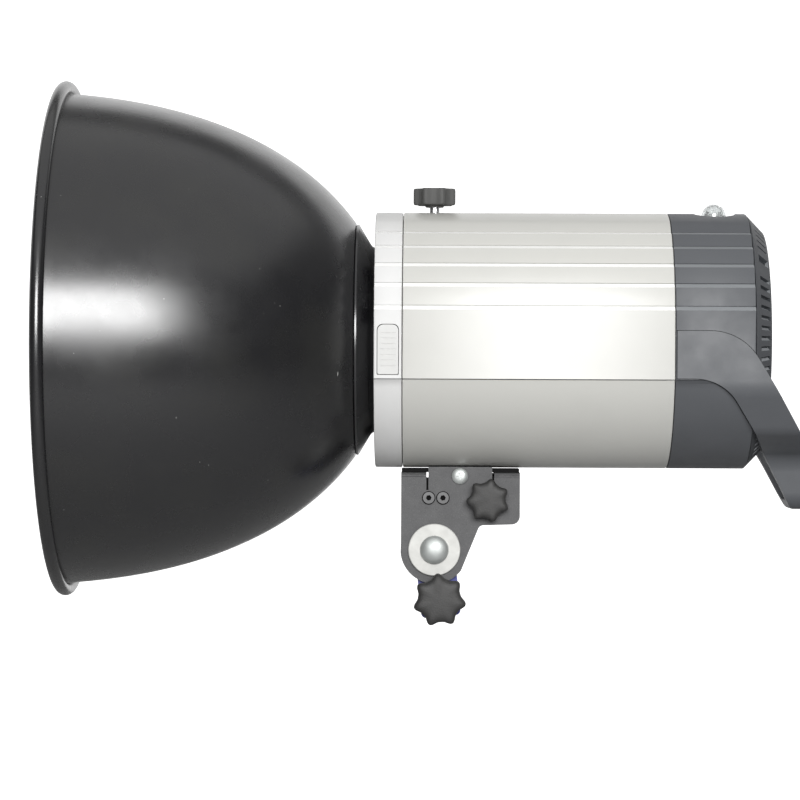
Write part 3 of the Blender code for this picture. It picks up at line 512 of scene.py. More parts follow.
BLACK = paint_black()
SILVER_DISH = dish_silver()
SHELL = paint_silver("silver_paint", (0.465, 0.463, 0.437))
# Paler copy of the casing paint for the lips over the panels: painted highlight for the top light they
# catch.
SHELL_LIP_HIGHLIGHT = paint_silver("silver_paint_lip_highlight", (0.86, 0.86, 0.84))
GREY = paint_grey()
LATCH = moulded("grey_plastic", (0.50, 0.50, 0.49), 0.5, 0.7, 0.05, 1.02)
SLATE = moulded("slate_plastic", (0.072, 0.076, 0.083), 0.46, 0.45, 0.02, 1.1)
# Paler copy of the slate plastic for the lips and the upward louvre faces: painted highlight, not a finish
# of its own.
SLATE_LIP_HIGHLIGHT = moulded("slate_plastic_lip_highlight", (0.20, 0.21, 0.22), 0.4, 0.45, 0.02, 1.1)
VENT = moulded("vent_plastic", (0.050, 0.053, 0.058), 0.5, 0.45, 0.02, 1.1)
DARK = moulded("dark_plastic", (0.028, 0.031, 0.035), 0.5)
KNOB = moulded("knob_plastic", (0.024, 0.0235, 0.023), 0.52, 0.8, 0.22, 1.9)
PANEL = moulded("panel_black", (0.020, 0.021, 0.023), 0.45, 0.4, 0.03)
BUTTON = moulded("button_plastic", (0.25, 0.26, 0.27), 0.5)
BRACKET = powder_coat()
ZINC = metal("zinc", (0.52, 0.52, 0.50), 0.55, 0.6, None, 0.02, 0.9, 0.25)
BOLT = metal("bolt_zinc", (0.46, 0.48, 0.47), 0.42, 0.8, None, 0.04, 0.8, 0.7)
SCREW = moulded("screw_grey", (0.10, 0.10, 0.102), 0.45, 0.5, 0.03)
STEEL = metal("steel", (0.56, 0.56, 0.57), 0.3, 0.3, (1.0, 1.0, 6.0))
# Paler copy of the knob plastic for the top knob alone: painted light standing in for the brighter light on
# its sides.
KNOB_LIT_COPY = moulded("knob_plastic_lit_copy", (0.066, 0.066, 0.064), 0.6, 0.8, 0.22, 1.5)
# Near-black matt painted into screw drives and round socket heads: painted shade, not the screws' own
# colour.
RECESS_SHADE = matt_black("recess_shade_black", 0.004)
BLACK_STEEL = metal("black_steel", (0.13, 0.13, 0.135), 0.48, metallic=0.3)
ANODISED = matt_black("black_anodised", 0.008)
BRASS = metal("brass", (0.72, 0.55, 0.24), 0.32)
ALUMINIUM = metal("aluminium", (0.72, 0.72, 0.73), 0.38, 0.25, (8.0, 1.0, 1.0))
BLUE = moulded("blue_paint", (0.018, 0.026, 0.20), 0.42, 0.8, 0.05, 1.3)
CERAMIC = moulded("ceramic", (0.78, 0.76, 0.71), 0.45, 0.6, 0.03, 1.0)
SLEEVE = moulded("sleeve", (0.04, 0.07, 0.16), 0.25, 1.5, 0.01)
WINDING = moulded("winding", (0.30, 0.15, 0.06), 0.5, 1.0, 0.2)
FIBRE = moulded("fibre", (0.30, 0.18, 0.09), 0.8, 0.6, 0.1)
BOARD = circuit_board()
LENS = glassy("clear_plastic", (0.80, 0.82, 0.82), 0.08, 0.8)
FOIL = metal("foil_silver", (0.85, 0.85, 0.84), 0.3, metallic=0.6)
FROSTED = glassy("frosted_glass", (0.96, 0.97, 0.97), 0.22, ior=1.2)
GLASS = glassy("glass", (0.95, 0.97, 0.97), 0.02)
RED = glassy("red_plastic", (0.25, 0.01, 0.01), 0.12, 0.4)
MARK = moulded("mark_white", (0.75, 0.75, 0.73), 0.5)
DIGIT = moulded("digit_red", (0.75, 0.04, 0.02), 0.4)


# ---------------------------------------------------------------- reflector


def dish_radius(x):
    """The dish's outer radius, on a superellipse that fits the CAD dish."""
    return DISH_RADIUS * math.sqrt(1.0 - ((x - DISH_START) / DISH_LENGTH) ** DISH_POWER)


def reflector():
    """The spun dish with its rolled rim, and the collar riveted behind it."""
    rim, back, wall, hole = -223.2, -47.6, 1.4, 57.5
    bead_radius, bead_middle = 4.0, 152.5
    steps = 56
    places = [rim + (back - rim) * (1.0 - (1.0 - i / steps) ** 1.5) for i in range(steps + 1)]
    outside = [(x, dish_radius(x)) for x in places if x > rim + 3.5]
    bead = [polar(bead_radius, turn, (rim, bead_middle)) for turn in range(268, -60, -14)]
    flat = [(back, hole), (back - wall, hole)]
    inside = [(x, dish_radius(x) - wall) for x in places[:-1] if x > rim + 3.0]
    inside[-1] = (back - wall, inside[-1][1] - 3.0)
    profile = bead + outside + flat + list(reversed(inside))
    first_inner = len(bead) + len(outside)
    slots = [0] * first_inner + [1] * (len(profile) - first_inner)
    slots[0:2] = [1, 1]
    slots[-1] = 1
    bowl = turned("dish_shell", profile, "X", [BLACK, SILVER_DISH], 160, slots=slots, sharp=40.0)
    settle(bowl, "reflector", "black_paint", "reflector_bowl")
    front, ears = back + 0.3, RING_FRONT + 4.4
    collar = [(front, 56.4), (front, 69.6), (front + 0.5, 70.2), (front + 1.5, 70.2), (front + 2.2, 69.2),
              (front + 8.6, 58.3), (front + 9.6, 57.0), (front + 11.0, 56.2), (ears, 56.0), (ears, 61.2),
              (ears + 0.4, 61.5), (ears + 2.2, 61.5), (ears + 2.6, 61.2), (ears + 2.6, 53.6),
              (front + 9.8, 53.6)]
    neck = turned("dish_collar", collar, "X", BLACK, 120)
    for i in range(3):
        centre = 120.0 * i
        outline = arc(66.0, centre - 40, centre + 40, 12) + arc(56.0, centre + 40, centre - 40, 12)
        cut(neck, outline, "X", ears - 0.1, ears + 3.6)
    settle(neck, "reflector", "black_paint", "reflector_neck")
    seat = back - wall
    rivet = [(seat - 1.2, 0.0), (seat - 1.0, 1.4), (seat - 0.1, 2.2), (seat, 0.0)]
    for i in range(6):
        y, z = polar(63.5, 60.0 * i + 15.0)
        head = turned(f"dish_rivet_{i}", rivet, "X", STEEL, 20, at=(0.0, y, z))
        settle(head, "reflector", "steel")


# ---------------------------------------------------------------- casing


def lip(low):
    """How many degrees the lip over a panel takes up: more towards the top, to show from the side."""
    return 1.6 + low / 32.0


def stepped_side(shrink=0.0):
    """One stepped side from the parting line up to the plain arc over the top.

    Over each panel a narrow lip faces up, with a thin crease behind it where the next panel starts.
    """
    outer, inner = BODY_RADIUS - shrink, BODY_RADIUS - STEP_HEIGHT - shrink
    flat, floor = SIDE_FLAT - shrink, inner - CREASE_DEPTH
    points = [(flat, PARTING_Z), (flat, outer * math.sin(math.radians(STEP_ANGLES[0])))]
    for low, high in zip(STEP_ANGLES, STEP_ANGLES[1:] + (TOP_START,)):
        start = low + lip(low)
        panel = start + CREASE
        points += [polar(inner, start), polar(floor, start + 0.05), polar(floor, panel - 0.05)]
        for i in range(5):
            share = i / 4
            points.append(polar(inner + (outer - inner) * share, panel + (high - panel) * share))
    return points


def paint_lip_highlights(made, pale):
    """Gives the lip over each panel a paler copy of its material, a painted highlight for the light the lips
    catch.
    """
    made.data.materials.append(pale)
    for face in made.data.polygons:
        middle = head_middle(face)
        turn = math.degrees(math.atan2(middle.z, abs(middle.y)))
        if abs(face.normal.x) < 0.5 and any(low + 0.1 < turn < low + lip(low) - 0.1 for low in STEP_ANGLES):
            face.material_index = len(made.data.materials) - 1


def upper_outline(shrink=0.0):
    """The casing above the parting line, from the right over the top to the left."""
    side = stepped_side(shrink)
    top = arc(BODY_RADIUS - shrink, TOP_START, 180.0 - TOP_START, 24)[1:-1]
    return side + top + [(-y, z) for y, z in reversed(side)]


def lower_outline(shrink=0.0, drop=0.0):
    """The plain arc below the parting line, from the left round to the right."""
    start = below_parting(BODY_RADIUS - shrink, drop)
    return arc(BODY_RADIUS - shrink, 180.0 + start, 360.0 - start, 72)


def full_outline(shrink=0.0):
    """The whole casing section."""
    return upper_outline(shrink) + lower_outline(shrink)[1:-1]


def along(outline, x):
    """An outline across the strobe axis placed at x."""
    return [(x, y, z) for y, z in outline]


def edge_stations(low, high, soft):
    """Places along X with how far the outline is drawn in, for softly rounded ends."""
    return [(low, soft), (low + 0.3 * soft, 0.3 * soft), (low + soft, 0.0),
            (high - soft, 0.0), (high - 0.3 * soft, 0.3 * soft), (high, soft)]


def shell_piece(name, outline_at, inner, low, high, material, soft=0.7):
    """A casing part with rounded ends; inner is the outline of its inside wall, if it has one."""
    rings = [along(outline_at(shrink) + inner, x) for x, shrink in edge_stations(low, high, soft)]
    return loft(name, rings, material)


def below_parting(radius, gap=0.0):
    """The angle below level at which a radius meets the parting line, or a gap under it."""
    return math.degrees(math.asin((gap - PARTING_Z) / radius))


def casing():
    """The two shells, the front ring and the rear housing."""
    start, end, gap = RING_REAR + 0.35, SHELL_REAR - 0.35, 0.45
    side = below_parting(WALL_RADIUS)
    inner_top = arc(WALL_RADIUS, 180.0 + side, -side, 60)
    upper = shell_piece("casing_upper", upper_outline, inner_top, start, end, SHELL)
    cut(upper, circle(3.6, 32), "Z", 60.0, 90.0)
    paint_lip_highlights(upper, SHELL_LIP_HIGHLIGHT)
    settle(upper, "head", "silver_paint", "upper_shell")
    side = below_parting(WALL_RADIUS, gap)
    inner_low = arc(WALL_RADIUS, 360.0 - side, 180.0 + side, 60)
    lower = shell_piece("casing_lower", lambda shrink: lower_outline(shrink, gap), inner_low, start, end,
                        SHELL)
    cut(lower, [(-2.6, -13.8), (35.0, -13.8), (35.0, 13.8), (-2.6, 13.8)], "Z", -95.0, -60.0)
    settle(lower, "head", "silver_paint", "lower_shell")
    front_ring()
    rear_housing()


def latch_outline(grow):
    """The release latch from the side, grown for its pocket."""
    return rounded([(-33.2 - grow, -21.6 - grow, 1.0), (-20.9 + grow, -21.6 - grow, 1.0),
                    (-20.9 + grow, 7.6 + grow, 3.5), (-33.2 - grow, 7.6 + grow, 3.5)])


def parting_groove(made, low, high):
    """Cuts the thin parting line along both sides of a casing part."""
    for side in (-1.0, 1.0):
        outline = [(side * 72.5, PARTING_Z - 0.5), (side * 90.0, PARTING_Z - 0.5),
                   (side * 90.0, PARTING_Z), (side * 72.5, PARTING_Z)]
        cut(made, outline, "X", low - 1.0, high + 1.0)


def front_ring():
    """The light grey casting with the bayonet mouth and the latch's pocket."""
    ring = shell_piece("front_casting", full_outline, [], RING_FRONT, RING_REAR, GREY, 0.9)
    cut(ring, circle(57.4, 120), "X", RING_FRONT - 1.0, RING_REAR + 1.0)
    cut(ring, circle(63.0, 120), "X", RING_FRONT + 3.6, RING_REAR + 1.0)
    for i in range(3):
        sector = [(0.0, 0.0)] + arc(62.4, 120.0 * i + 8.5, 120.0 * i + 51.5, 12)
        cut(ring, sector, "X", RING_FRONT - 1.0, RING_FRONT + 4.4)
    cut(ring, latch_outline(0.35), "Y", -80.0, -58.0)
    notch = [(-9.0, 73.0), (9.0, 73.0), (9.0, 80.0), (-9.0, 80.0)]
    cut(ring, notch, "X", RING_REAR - 3.2, RING_REAR + 1.0)
    parting_groove(ring, RING_FRONT, RING_REAR)
    paint_lip_highlights(ring, SHELL_LIP_HIGHLIGHT)
    settle(ring, "head", "grey_paint", "front_ring")
    latch = prism("release_latch", latch_outline(0.0), "Y", LATCH_FACE, -68.4, LATCH)
    for i in range(7):
        z = -17.0 + 3.2 * i
        groove = [(-31.6, z), (-22.6, z), (-22.6, z + 0.7), (-31.6, z + 0.7)]
        cut(latch, groove, "Y", LATCH_FACE - 1.35, LATCH_FACE + 0.3)
    settle(bevel(latch, 0.4), "latch_button", "grey_plastic", "latch_button")


def handle_side(grow):
    """The handle from the side, grown for its pocket."""
    lean = 0.574 * grow
    return rounded([
        (SHELL_REAR + 0.8 - grow, 4.6 + grow, 0.0),
        (SHELL_REAR + 0.8 - grow, -23.4 - grow, 0.0),
        (168.8 - lean, -23.4 - grow, 30.0),
        (198.8 - lean, -69.0, 30.0),
        (216.0 - lean, HANDLE_BOTTOM, 3.6),
        (245.0 + lean, HANDLE_BOTTOM, 6.0),
        (180.1 + lean, 4.6 + grow, 33.0),
    ], 14)


def rear_housing():
    """The dark rear casing, its slotted chamfer ring and the handle let into its sides."""
    housing = shell_piece("rear_casing", full_outline, [], SHELL_REAR, HOUSING_REAR, SLATE, 0.6)
    cut(housing, circle(WALL_RADIUS - 0.1, 96), "X", SHELL_REAR - 1.0, HOUSING_REAR + 1.0)
    for low, high in ((-90.0, -44.0), (44.0, 90.0)):
        cut(housing, handle_side(0.3), "Y", low, high)
    cut(housing, cell_outline(0.0), "Z", 60.0, 90.0, at=CELL_AT)
    parting_groove(housing, SHELL_REAR, HOUSING_REAR)
    paint_lip_highlights(housing, SLATE_LIP_HIGHLIGHT)
    settle(housing, "head", "slate_plastic", "rear_housing")
    vent_ring()
    carry_handle()


def louvre(middle, half):
    """One louvre from its lower edge to its upper one: angles round the ring, each with its depth."""
    return [(middle - half, 0.0), (middle - half + 0.06, 0.8), (middle + half * 0.25, 2.2),
            (middle + half - 0.06, 2.2), (middle + half, 0.0)]


def vent_ring():
    """The chamfered ring, with a louvre at each pitch round its cone and a broad scoop high on each side."""
    front, pitch = HOUSING_REAR + 0.3, 360.0 / 74.0
    scoop = 41.0
    stations = louvre(scoop, 2.3)
    for i in range(-18, 19):
        middle = 0.4 + pitch * i
        if -89.0 < middle < 88.0 and not scoop - 8.6 < middle < scoop + 5.0:
            stations += louvre(middle, 1.0 if middle < scoop else 0.62)
    stations.sort()
    round_ring = stations + [(180.0 - angle, depth) for angle, depth in reversed(stations)]
    top, foot = Vector((front + 0.5, 76.3)), Vector((VENT_FACE - 0.3, 66.8))
    slope = foot - top
    inward = Vector((slope.y, -slope.x)).normalized()
    rings = []
    for angle, depth in round_ring:
        profile = [(front, 71.5), (front, 76.0), top, top + slope * 0.27]
        profile += [top + slope * share + inward * depth for share in (0.275, 0.925)]
        profile += [top + slope * 0.93, foot, (VENT_FACE, 66.4), (VENT_FACE, VENT_INNER)]
        profile += [(VENT_FACE - 3.6, VENT_INNER)]
        rings.append([(x, *polar(radius, angle)) for x, radius in profile])
    ring = loft("vent_ring_base", rings, [VENT, DARK, SLATE_LIP_HIGHLIGHT], closed=True)
    for low, high in ((-90.0, -69.3), (69.3, 90.0)):
        cut(ring, handle_side(0.3), "Y", low, high)
    # Inside each louvre the faces that face up take the paler lip copy as a painted highlight, and the other
    # deep faces take the dark plastic as painted shade in the recess.
    for face in ring.data.polygons:
        middle = head_middle(face)
        place = Vector((middle.x, math.hypot(middle.y, middle.z)))
        deep = (place - top).dot(inward)
        share = (place - top).dot(slope) / slope.length_squared
        if 0.2 < deep < 2.4 and 0.26 < share < 0.94:
            face.material_index = 2 if face.normal.z > 0.3 and deep < 2.0 else 1
    settle(ring, "head", "dark_plastic", "vent_ring")


def carry_handle():
    """The stirrup handle, drawn in below to a narrow grip."""
    outside = [(76.0, 14.0, 0.0), (76.0, -30.0, 20.0), (61.0, -55.0, 14.0), (22.0, -71.0, 14.0),
               (18.0, HANDLE_BOTTOM, 12.0)]
    inside = [(70.1, 14.0, 0.0), (70.1, -28.0, 16.0), (56.5, -51.0, 10.0), (16.4, -67.4, 9.0),
              (12.6, HANDLE_BOTTOM + 5.5, 7.0)]
    corners = outside + [(-y, z, r) for y, z, r in reversed(outside)]
    corners += [(-y, z, r) for y, z, r in inside] + list(reversed(inside))
    handle = prism("stirrup_handle", rounded(corners, 12), "X", SHELL_REAR, 260.0, SLATE)
    cut(handle, handle_side(0.0), "Y", -90.0, 90.0, operation="INTERSECT")
    start, end = HOUSING_REAR - 0.2, VENT_FACE + 0.5
    relief = [(start, 0.0), (start, BODY_RADIUS), (end, VENT_INNER + 1.7), (end, 0.0)]
    hollow = turned("hollow", relief, "X", SLATE, 144)
    cut(hollow, [(180.0, -25.0), (210.0, -25.0), (210.0, 90.0), (180.0, 90.0)], "Y", -90.0, 90.0)
    carve(handle, hollow)
    settle(bevel(handle, 1.0, 3, 40.0), "head", "slate_plastic", "carry_handle")


def cell_outline(grow):
    """The slave cell's recess from above, long across the casing, grown outward."""
    return rounded([(x, y, 12.0) for x, y in box_outline(0.0, 0.0, 12.8 + grow, 20.5 + grow)], 12)


def photocell():
    """The slave cell: the recess's floor with a collar, a silver cup, two diodes and the dome."""
    floor = prism("cell_plate", cell_outline(-0.35), "Z", 71.0, 72.2, SLATE, at=CELL_AT)
    edge = [(72.1, 7.7), (72.1, 9.8), (73.4, 9.4), (73.8, 8.6), (73.8, 7.7)]
    collar = turned("cell_collar", edge, "Z", SLATE, 64, at=CELL_AT)
    settle(join("cell_floor", [floor, collar]), "head", "slate_plastic", "photocell_cup")
    rise, outside, inside, foot = 76.2, 7.4, 6.0, 72.5
    outer = [(rise + u, v) for v, u in arc(outside, 0.0, 85.0, 17)] + [(rise + outside, 0.0)]
    inner = [(rise + inside, 0.0)] + [(rise + u, v) for v, u in arc(inside, 80.0, 0.0, 10)]
    profile = [(foot, outside)] + outer + inner + [(foot, inside)]
    dome = turned("cell_dome", profile, "Z", LENS, 48, at=CELL_AT)
    settle(dome, "head", "clear_plastic", "photocell_dome")
    cup = [(foot, 3.2), (foot, 5.8), (77.6, 5.7), (77.6, 5.4), (73.2, 3.2)]
    settle(turned("cell_mirror", cup, "Z", FOIL, 40, at=CELL_AT), "head", "aluminium")
    for word, side in (("front", -1.0), ("rear", 1.0)):
        chip = [(side * 4.4, -1.2), (side * 2.9, -1.2), (side * 2.9, 1.2), (side * 4.4, 1.2)]
        settle(prism(f"cell_diode_{word}", chip, "Z", 73.6, 78.8, PANEL, at=CELL_AT), "head", "panel_black")


# ---------------------------------------------------------------- knobs


# A knob's section as shares of its height, each with a share of its outline's size.
SOFT_CROWN = [(0.0, 0.86), (0.04, 0.93), (0.12, 0.975), (0.25, 1.0), (0.66, 1.0), (0.78, 0.98),
              (0.87, 0.93), (0.93, 0.85), (0.965, 0.74), (0.985, 0.58), (0.995, 0.3)]
SQUARE_CROWN = [(0.0, 0.93), (0.02, 0.965), (0.07, 0.99), (0.14, 1.0), (0.86, 1.0), (0.93, 0.99),
                (0.98, 0.965), (0.992, 0.93), (0.996, 0.7), (0.998, 0.4)]


def star_outline(radius, lobes=7):
    """Seven lobes with hollow scallops between them."""
    points = []
    count = lobes * 20
    for i in range(count):
        turn = math.tau * i / count
        wave = (1.0 + math.cos(lobes * turn)) / 2.0
        reach = radius * (0.82 + 0.18 * wave ** 1.7)
        points.append((reach * math.cos(turn), reach * math.sin(turn)))
    return points


def star_knob(node, radius, axis, low, high, place, at, spin, sections=SOFT_CROWN, material=KNOB):
    """A lobed knob with soft edges, a low crown and a moulding gate mark."""
    name = f"{node}_star"
    outline = rotated(star_outline(radius), spin)
    depth = high - low
    rings = []
    for share, scale in sections:
        rings.append([in_space(axis, u * scale, v * scale, low + depth * share) for u, v in outline])
    knob = loft(name, rings, material, place, at, sharp=60.0)
    foot, inside = low - math.copysign(1.2, depth), low + depth * 0.1
    hub = [(foot, 0.0), (foot, radius * 0.42), (inside, radius * 0.46), (inside, 0.0)]
    hub_piece = turned(f"{name}_hub", hub, axis, material, 40, place, at)
    seat = high - depth * 0.02
    mark = [(seat, 0.0), (seat, 1.3), (high, 1.1), (high, 0.0)]
    mark_piece = turned(f"{name}_gate", mark, axis, material, 24, place, at)
    settle(join(name, [knob, hub_piece, mark_piece]), node, "knob_plastic", node)


def knobs():
    """The three clamp knobs."""
    large, small = 16.0, 13.1
    star_knob("stand_knob", large, "Y", -21.7, -32.5, RECEIVER_PLACE, (0.0, 0.0, CLAMP_HEIGHT),
              42.6 - math.degrees(LEAN))
    star_knob("umbrella_knob", small, "Y", -19.2, -28.0, HEAD_PLACE, UMBRELLA_AT, 80.0)
    # The top knob takes the paler knob plastic, which is painted light.
    star_knob("top_knob", small, "Z", 82.1, 92.3, HEAD_PLACE, ORIGIN, 36.0, SQUARE_CROWN, KNOB_LIT_COPY)


# ---------------------------------------------------------------- bracket


def cheek_outline():
    """One cheek from the side, with a tab between two slits at its top."""
    front, rear, tab_top = TAB_LEFT - SLIT, TAB_RIGHT + SLIT, -76.9
    return (
        [(BRACKET_LEFT, BRACKET_TOP), (BRACKET_LEFT, PIVOT_AT[2] + 4.0)]
        + arc(20.5, 180.0, 322.0, 30, PIVOT_AT[::2])[1:]
        + arc(3.5, 152.0, 90.0, 6, (30.4, -115.6))
        + arc(5.0, 270.0, 360.0, 10, (BRACKET_RIGHT - 5.0, -106.6))
        + [(BRACKET_RIGHT, BRACKET_TOP), (rear, BRACKET_TOP), (rear, -86.0), (TAB_RIGHT, -86.0),
           (TAB_RIGHT, tab_top), (TAB_LEFT, tab_top), (TAB_LEFT, -91.0), (front, -91.0),
           (front, BRACKET_TOP)]
    )


def folded_web(left, right):
    """A web over the top with a bend's radius down into each cheek."""
    top, edge, under, bend = -80.4, -82.8, -83.2, 2.6
    corner = arc(bend, 0.0, 90.0, 8, (CHEEK_OUTER - bend, top - bend))
    profile = [(CHEEK_OUTER, edge)] + corner + [(-y, z) for y, z in reversed(corner)]
    profile += [(-CHEEK_OUTER, edge), (-CHEEK_INNER, edge), (-CHEEK_INNER, under), (CHEEK_INNER, under),
                (CHEEK_INNER, edge)]
    return prism("web", profile, "X", left, right, BRACKET)


def tilt_bracket():
    """The folded sheet bracket with its holes."""
    holes = [(PIVOT_AT, 4.4), (PAN_SCREW_AT, 2.3)] + [(at, 2.3) for _, at in SOCKET_SCREWS]
    cheeks = []
    for low, high in ((-CHEEK_OUTER, -CHEEK_INNER), (CHEEK_INNER, CHEEK_OUTER)):
        cheek = prism("cheek", cheek_outline(), "Y", low, high, BRACKET)
        for at, radius in holes:
            cut(cheek, circle(radius, 32), "Y", -20.0, 20.0, at=at)
        cheeks.append(cheek)
    bracket, far = cheeks
    cut(bracket, circle(3.4, 32), "Y", -20.0, -10.0, at=UMBRELLA_AT)
    carve(bracket, far, "UNION")
    carve(bracket, folded_web(BRACKET_LEFT, TAB_LEFT - SLIT), "UNION")
    carve(bracket, folded_web(TAB_RIGHT + SLIT, BRACKET_RIGHT), "UNION")
    settle(bevel(bracket, 0.35, 2, 50.0), "head", "bracket_paint", "tilt_bracket")


def cross_recess(made, at, face, side, size):
    """Cuts a cross drive into a screw's head."""
    low, high = sorted((side * (face - 1.3), side * (face + 1.0)))
    for turn in (20.0, 110.0):
        cut(made, rotated(box_outline(0.0, 0.0, size, size * 0.2), turn), "Y", low, high, at=at)


def off_axis(middle, at):
    """How far a point is from an axis along Y through at."""
    return math.hypot(middle.x - at[0], middle.z - at[2])


def pan_screw(side, word, seat):
    """A pan-head screw whose cross drive is painted near-black as shade in the recess."""
    pan = [(9.0, 0.0), (9.0, 2.0), (seat, 2.0), (seat, 4.8), (seat + 0.5, 5.0), (seat + 1.2, 4.8),
           (seat + 1.9, 3.9), (seat + 2.3, 2.4), (seat + 2.4, 0.0)]
    screw = turned(f"pan_screw_{word}_side", [(side * y, r) for y, r in pan], "Y", [BOLT, RECESS_SHADE], 48,
                   at=PAN_SCREW_AT)
    cross_recess(screw, PAN_SCREW_AT, seat + 2.4, side, 2.3)
    for face in screw.data.polygons:
        middle = head_middle(face)
        wall = abs(face.normal.y) < 0.3 and side * middle.y > seat
        if wall and off_axis(middle, PAN_SCREW_AT) < 2.4:
            face.material_index = 1
    settle(screw, "head", "zinc", *(["pan_screw"] if side < 0 else []))


def socket_screw(side, word, place, at, seat):
    """A socket-head screw whose hexagon and head rim are painted near-black: painted shade in the recess and
    in the gap round the head.
    """
    cap = [(9.0, 0.0), (9.0, 2.0), (seat, 2.0), (seat, 4.0), (seat + 1.0, 4.0), (seat + 1.5, 3.5),
           (seat + 1.6, 0.0)]
    screw = turned(f"socket_screw_{word}_{place}", [(side * y, r) for y, r in cap], "Y", [SCREW, RECESS_SHADE],
                   40, at=at, slots=[1, 1, 1, 1, 1, 0, 0])
    low, high = sorted((side * (seat - 0.4), side * (seat + 3.0)))
    cut(screw, rotated(circle(1.75, 6), 10.0), "Y", low, high, at=at)
    for face in screw.data.polygons:
        if off_axis(head_middle(face), at) < 1.7:
            face.material_index = 1
    settle(screw, "head", "black_steel", *([f"socket_screw_{place}"] if side < 0 else []))


def bracket_screws():
    """Pan-head and socket-head screws in both cheeks."""
    seat = CHEEK_OUTER + 0.2
    for side, word in ((-1.0, "near"), (1.0, "far")):
        pan_screw(side, word, seat)
        for place, at in SOCKET_SCREWS:
            socket_screw(side, word, place, at, seat)


def pivot():
    """The pivot's bolt, washers and lock lever."""
    seat = CHEEK_OUTER + 0.3
    for side, word, radius in ((-1.0, "near", 15.7), (1.0, "far", 12.5)):
        washer = [(seat, 4.4), (seat, radius - 0.4), (seat + 0.3, radius), (seat + 1.6, radius),
                  (seat + 2.0, radius - 0.4), (seat + 2.0, 4.4)]
        disc = turned(f"washer_{word}", [(side * y, r) for y, r in washer], "Y", ZINC, 96, at=PIVOT_AT)
        settle(disc, "head", "zinc", f"pivot_washer_{word}")
    crown = [(-19.5 - 4.2 * v, 8.6 * u) for u, v in arc(1.0, 0.0, 82.5, 11)]
    profile = [(30.6, 0.0), (31.0, 3.6), (30.4, 4.0), (-19.0, 4.0), (-19.0, 8.6)] + crown + [(-23.7, 0.0)]
    bolt = turned("carriage_bolt", profile, "Y", BOLT, 64, at=PIVOT_AT)
    settle(bolt, "head", "zinc", "pivot_bolt")
    outline = rotated(arc(12.5, 60.0, 314.0, 40) + arc(6.0, -40.0, 90.0, 14, (48.0, 22.0)), 24.0)
    lever = prism("lock_lever", outline, "Y", 19.2, 28.0, KNOB, at=PIVOT_AT, holes=[circle(PIVOT_BORE, 40)])
    settle(bevel(lever, 1.6, 4, 40.0), "tilt_lever", "knob_plastic", "tilt_lever")


def receiver():
    """The blue casting on the stand's spigot."""
    half, corner = 12.0, 3.2
    outline = arc(corner, 180.0, 270.0, 8, (corner - half, corner))
    outline += arc(corner, 270.0, 360.0, 8, (half - corner, corner))
    outline += arc(half, 0.0, 180.0, 40, (0.0, PIVOT_HEIGHT))
    block = prism("receiver_casting", outline, "Y", -half, half, BLUE, RECEIVER_PLACE)
    cut(block, circle(8.3, 72), "Z", -1.0, 27.0, RECEIVER_PLACE)
    cut(block, circle(PIVOT_BORE, 40), "Y", -20.0, 20.0, RECEIVER_PLACE, (0.0, 0.0, PIVOT_HEIGHT))
    cut(block, circle(4.0, 40), "Y", -20.0, 0.0, RECEIVER_PLACE, (0.0, 0.0, CLAMP_HEIGHT))
    settle(bevel(block, 0.8, 3, 40.0), "stand_mount", "blue_paint", "stand_receiver")


# ---------------------------------------------------------------- rear panel trim


def panel_trim():
    """Screws, ready lamp, dial marks and the display's lit segments on the rear panel."""
    seat = PANEL_FACE - 0.8
    screw = [(seat, 0.0), (seat, 2.9), (seat + 0.8, 2.6), (seat + 1.4, 1.5), (seat + 1.5, 0.0)]
    for i in range(4):
        at = (0.0, *polar(62.0, 45.0 + 90.0 * i))
        made = turned(f"panel_screw_{i}", screw, "X", BLACK_STEEL, 32, at=at)
        for turn in (15.0 + 40.0 * i, 105.0 + 40.0 * i):
            cut(made, rotated(box_outline(0.0, 0.0, 1.6, 0.35), turn), "X", seat + 0.7, seat + 2.0, at=at)
        settle(made, "head", "black_steel")
    lens = [(seat, 0.0), (seat, 2.7), (seat + 0.8, 2.6), (seat + 1.9, 1.6), (seat + 2.3, 0.0)]
    settle(turned("ready_lamp", lens, "X", RED, 32, at=(0.0, 26.0, DISPLAY_Z)), "head", "red_plastic")
    ticks = []
    for i in range(11):
        half = 1.6 if i % 5 == 0 else 1.1
        outline = rotated(box_outline(0.0, 14.2 + half, 0.35, half), 140.0 - 28.0 * i)
        ticks.append(prism("tick", outline, "X", seat, seat + 0.12, MARK, at=DIAL_AT))
    settle(join("dial_ticks", ticks), "head", "button_plastic")
    crown = PANEL_FACE + 6.6
    outline = rounded([(u, v, 0.4) for u, v in box_outline(0.0, 6.55, 0.5, 3.05)])
    pointer = prism("dial_pointer", outline, "X", crown, crown + 0.15, MARK, at=DIAL_AT)
    settle(pointer, "power_dial", "button_plastic")
    settle(join("display_segments", segments((-6.0, 6.0), seat)), "head", "red_plastic")


def segments(places, seat):
    """A figure of seven bars at each place, lying on the display's window."""
    bars = []
    for y in places:
        bars += [box_outline(y, DISPLAY_Z + row, 1.6, 0.35) for row in (-4.0, 0.0, 4.0)]
        for side in (-2.1, 2.1):
            bars += [box_outline(y + side, DISPLAY_Z + row, 0.35, 1.5) for row in (-2.0, 2.0)]
    return [prism("segment", bar, "X", seat + 0.02, seat + 0.12, DIGIT) for bar in bars]


# ---------------------------------------------------------------- CAD nodes that stay


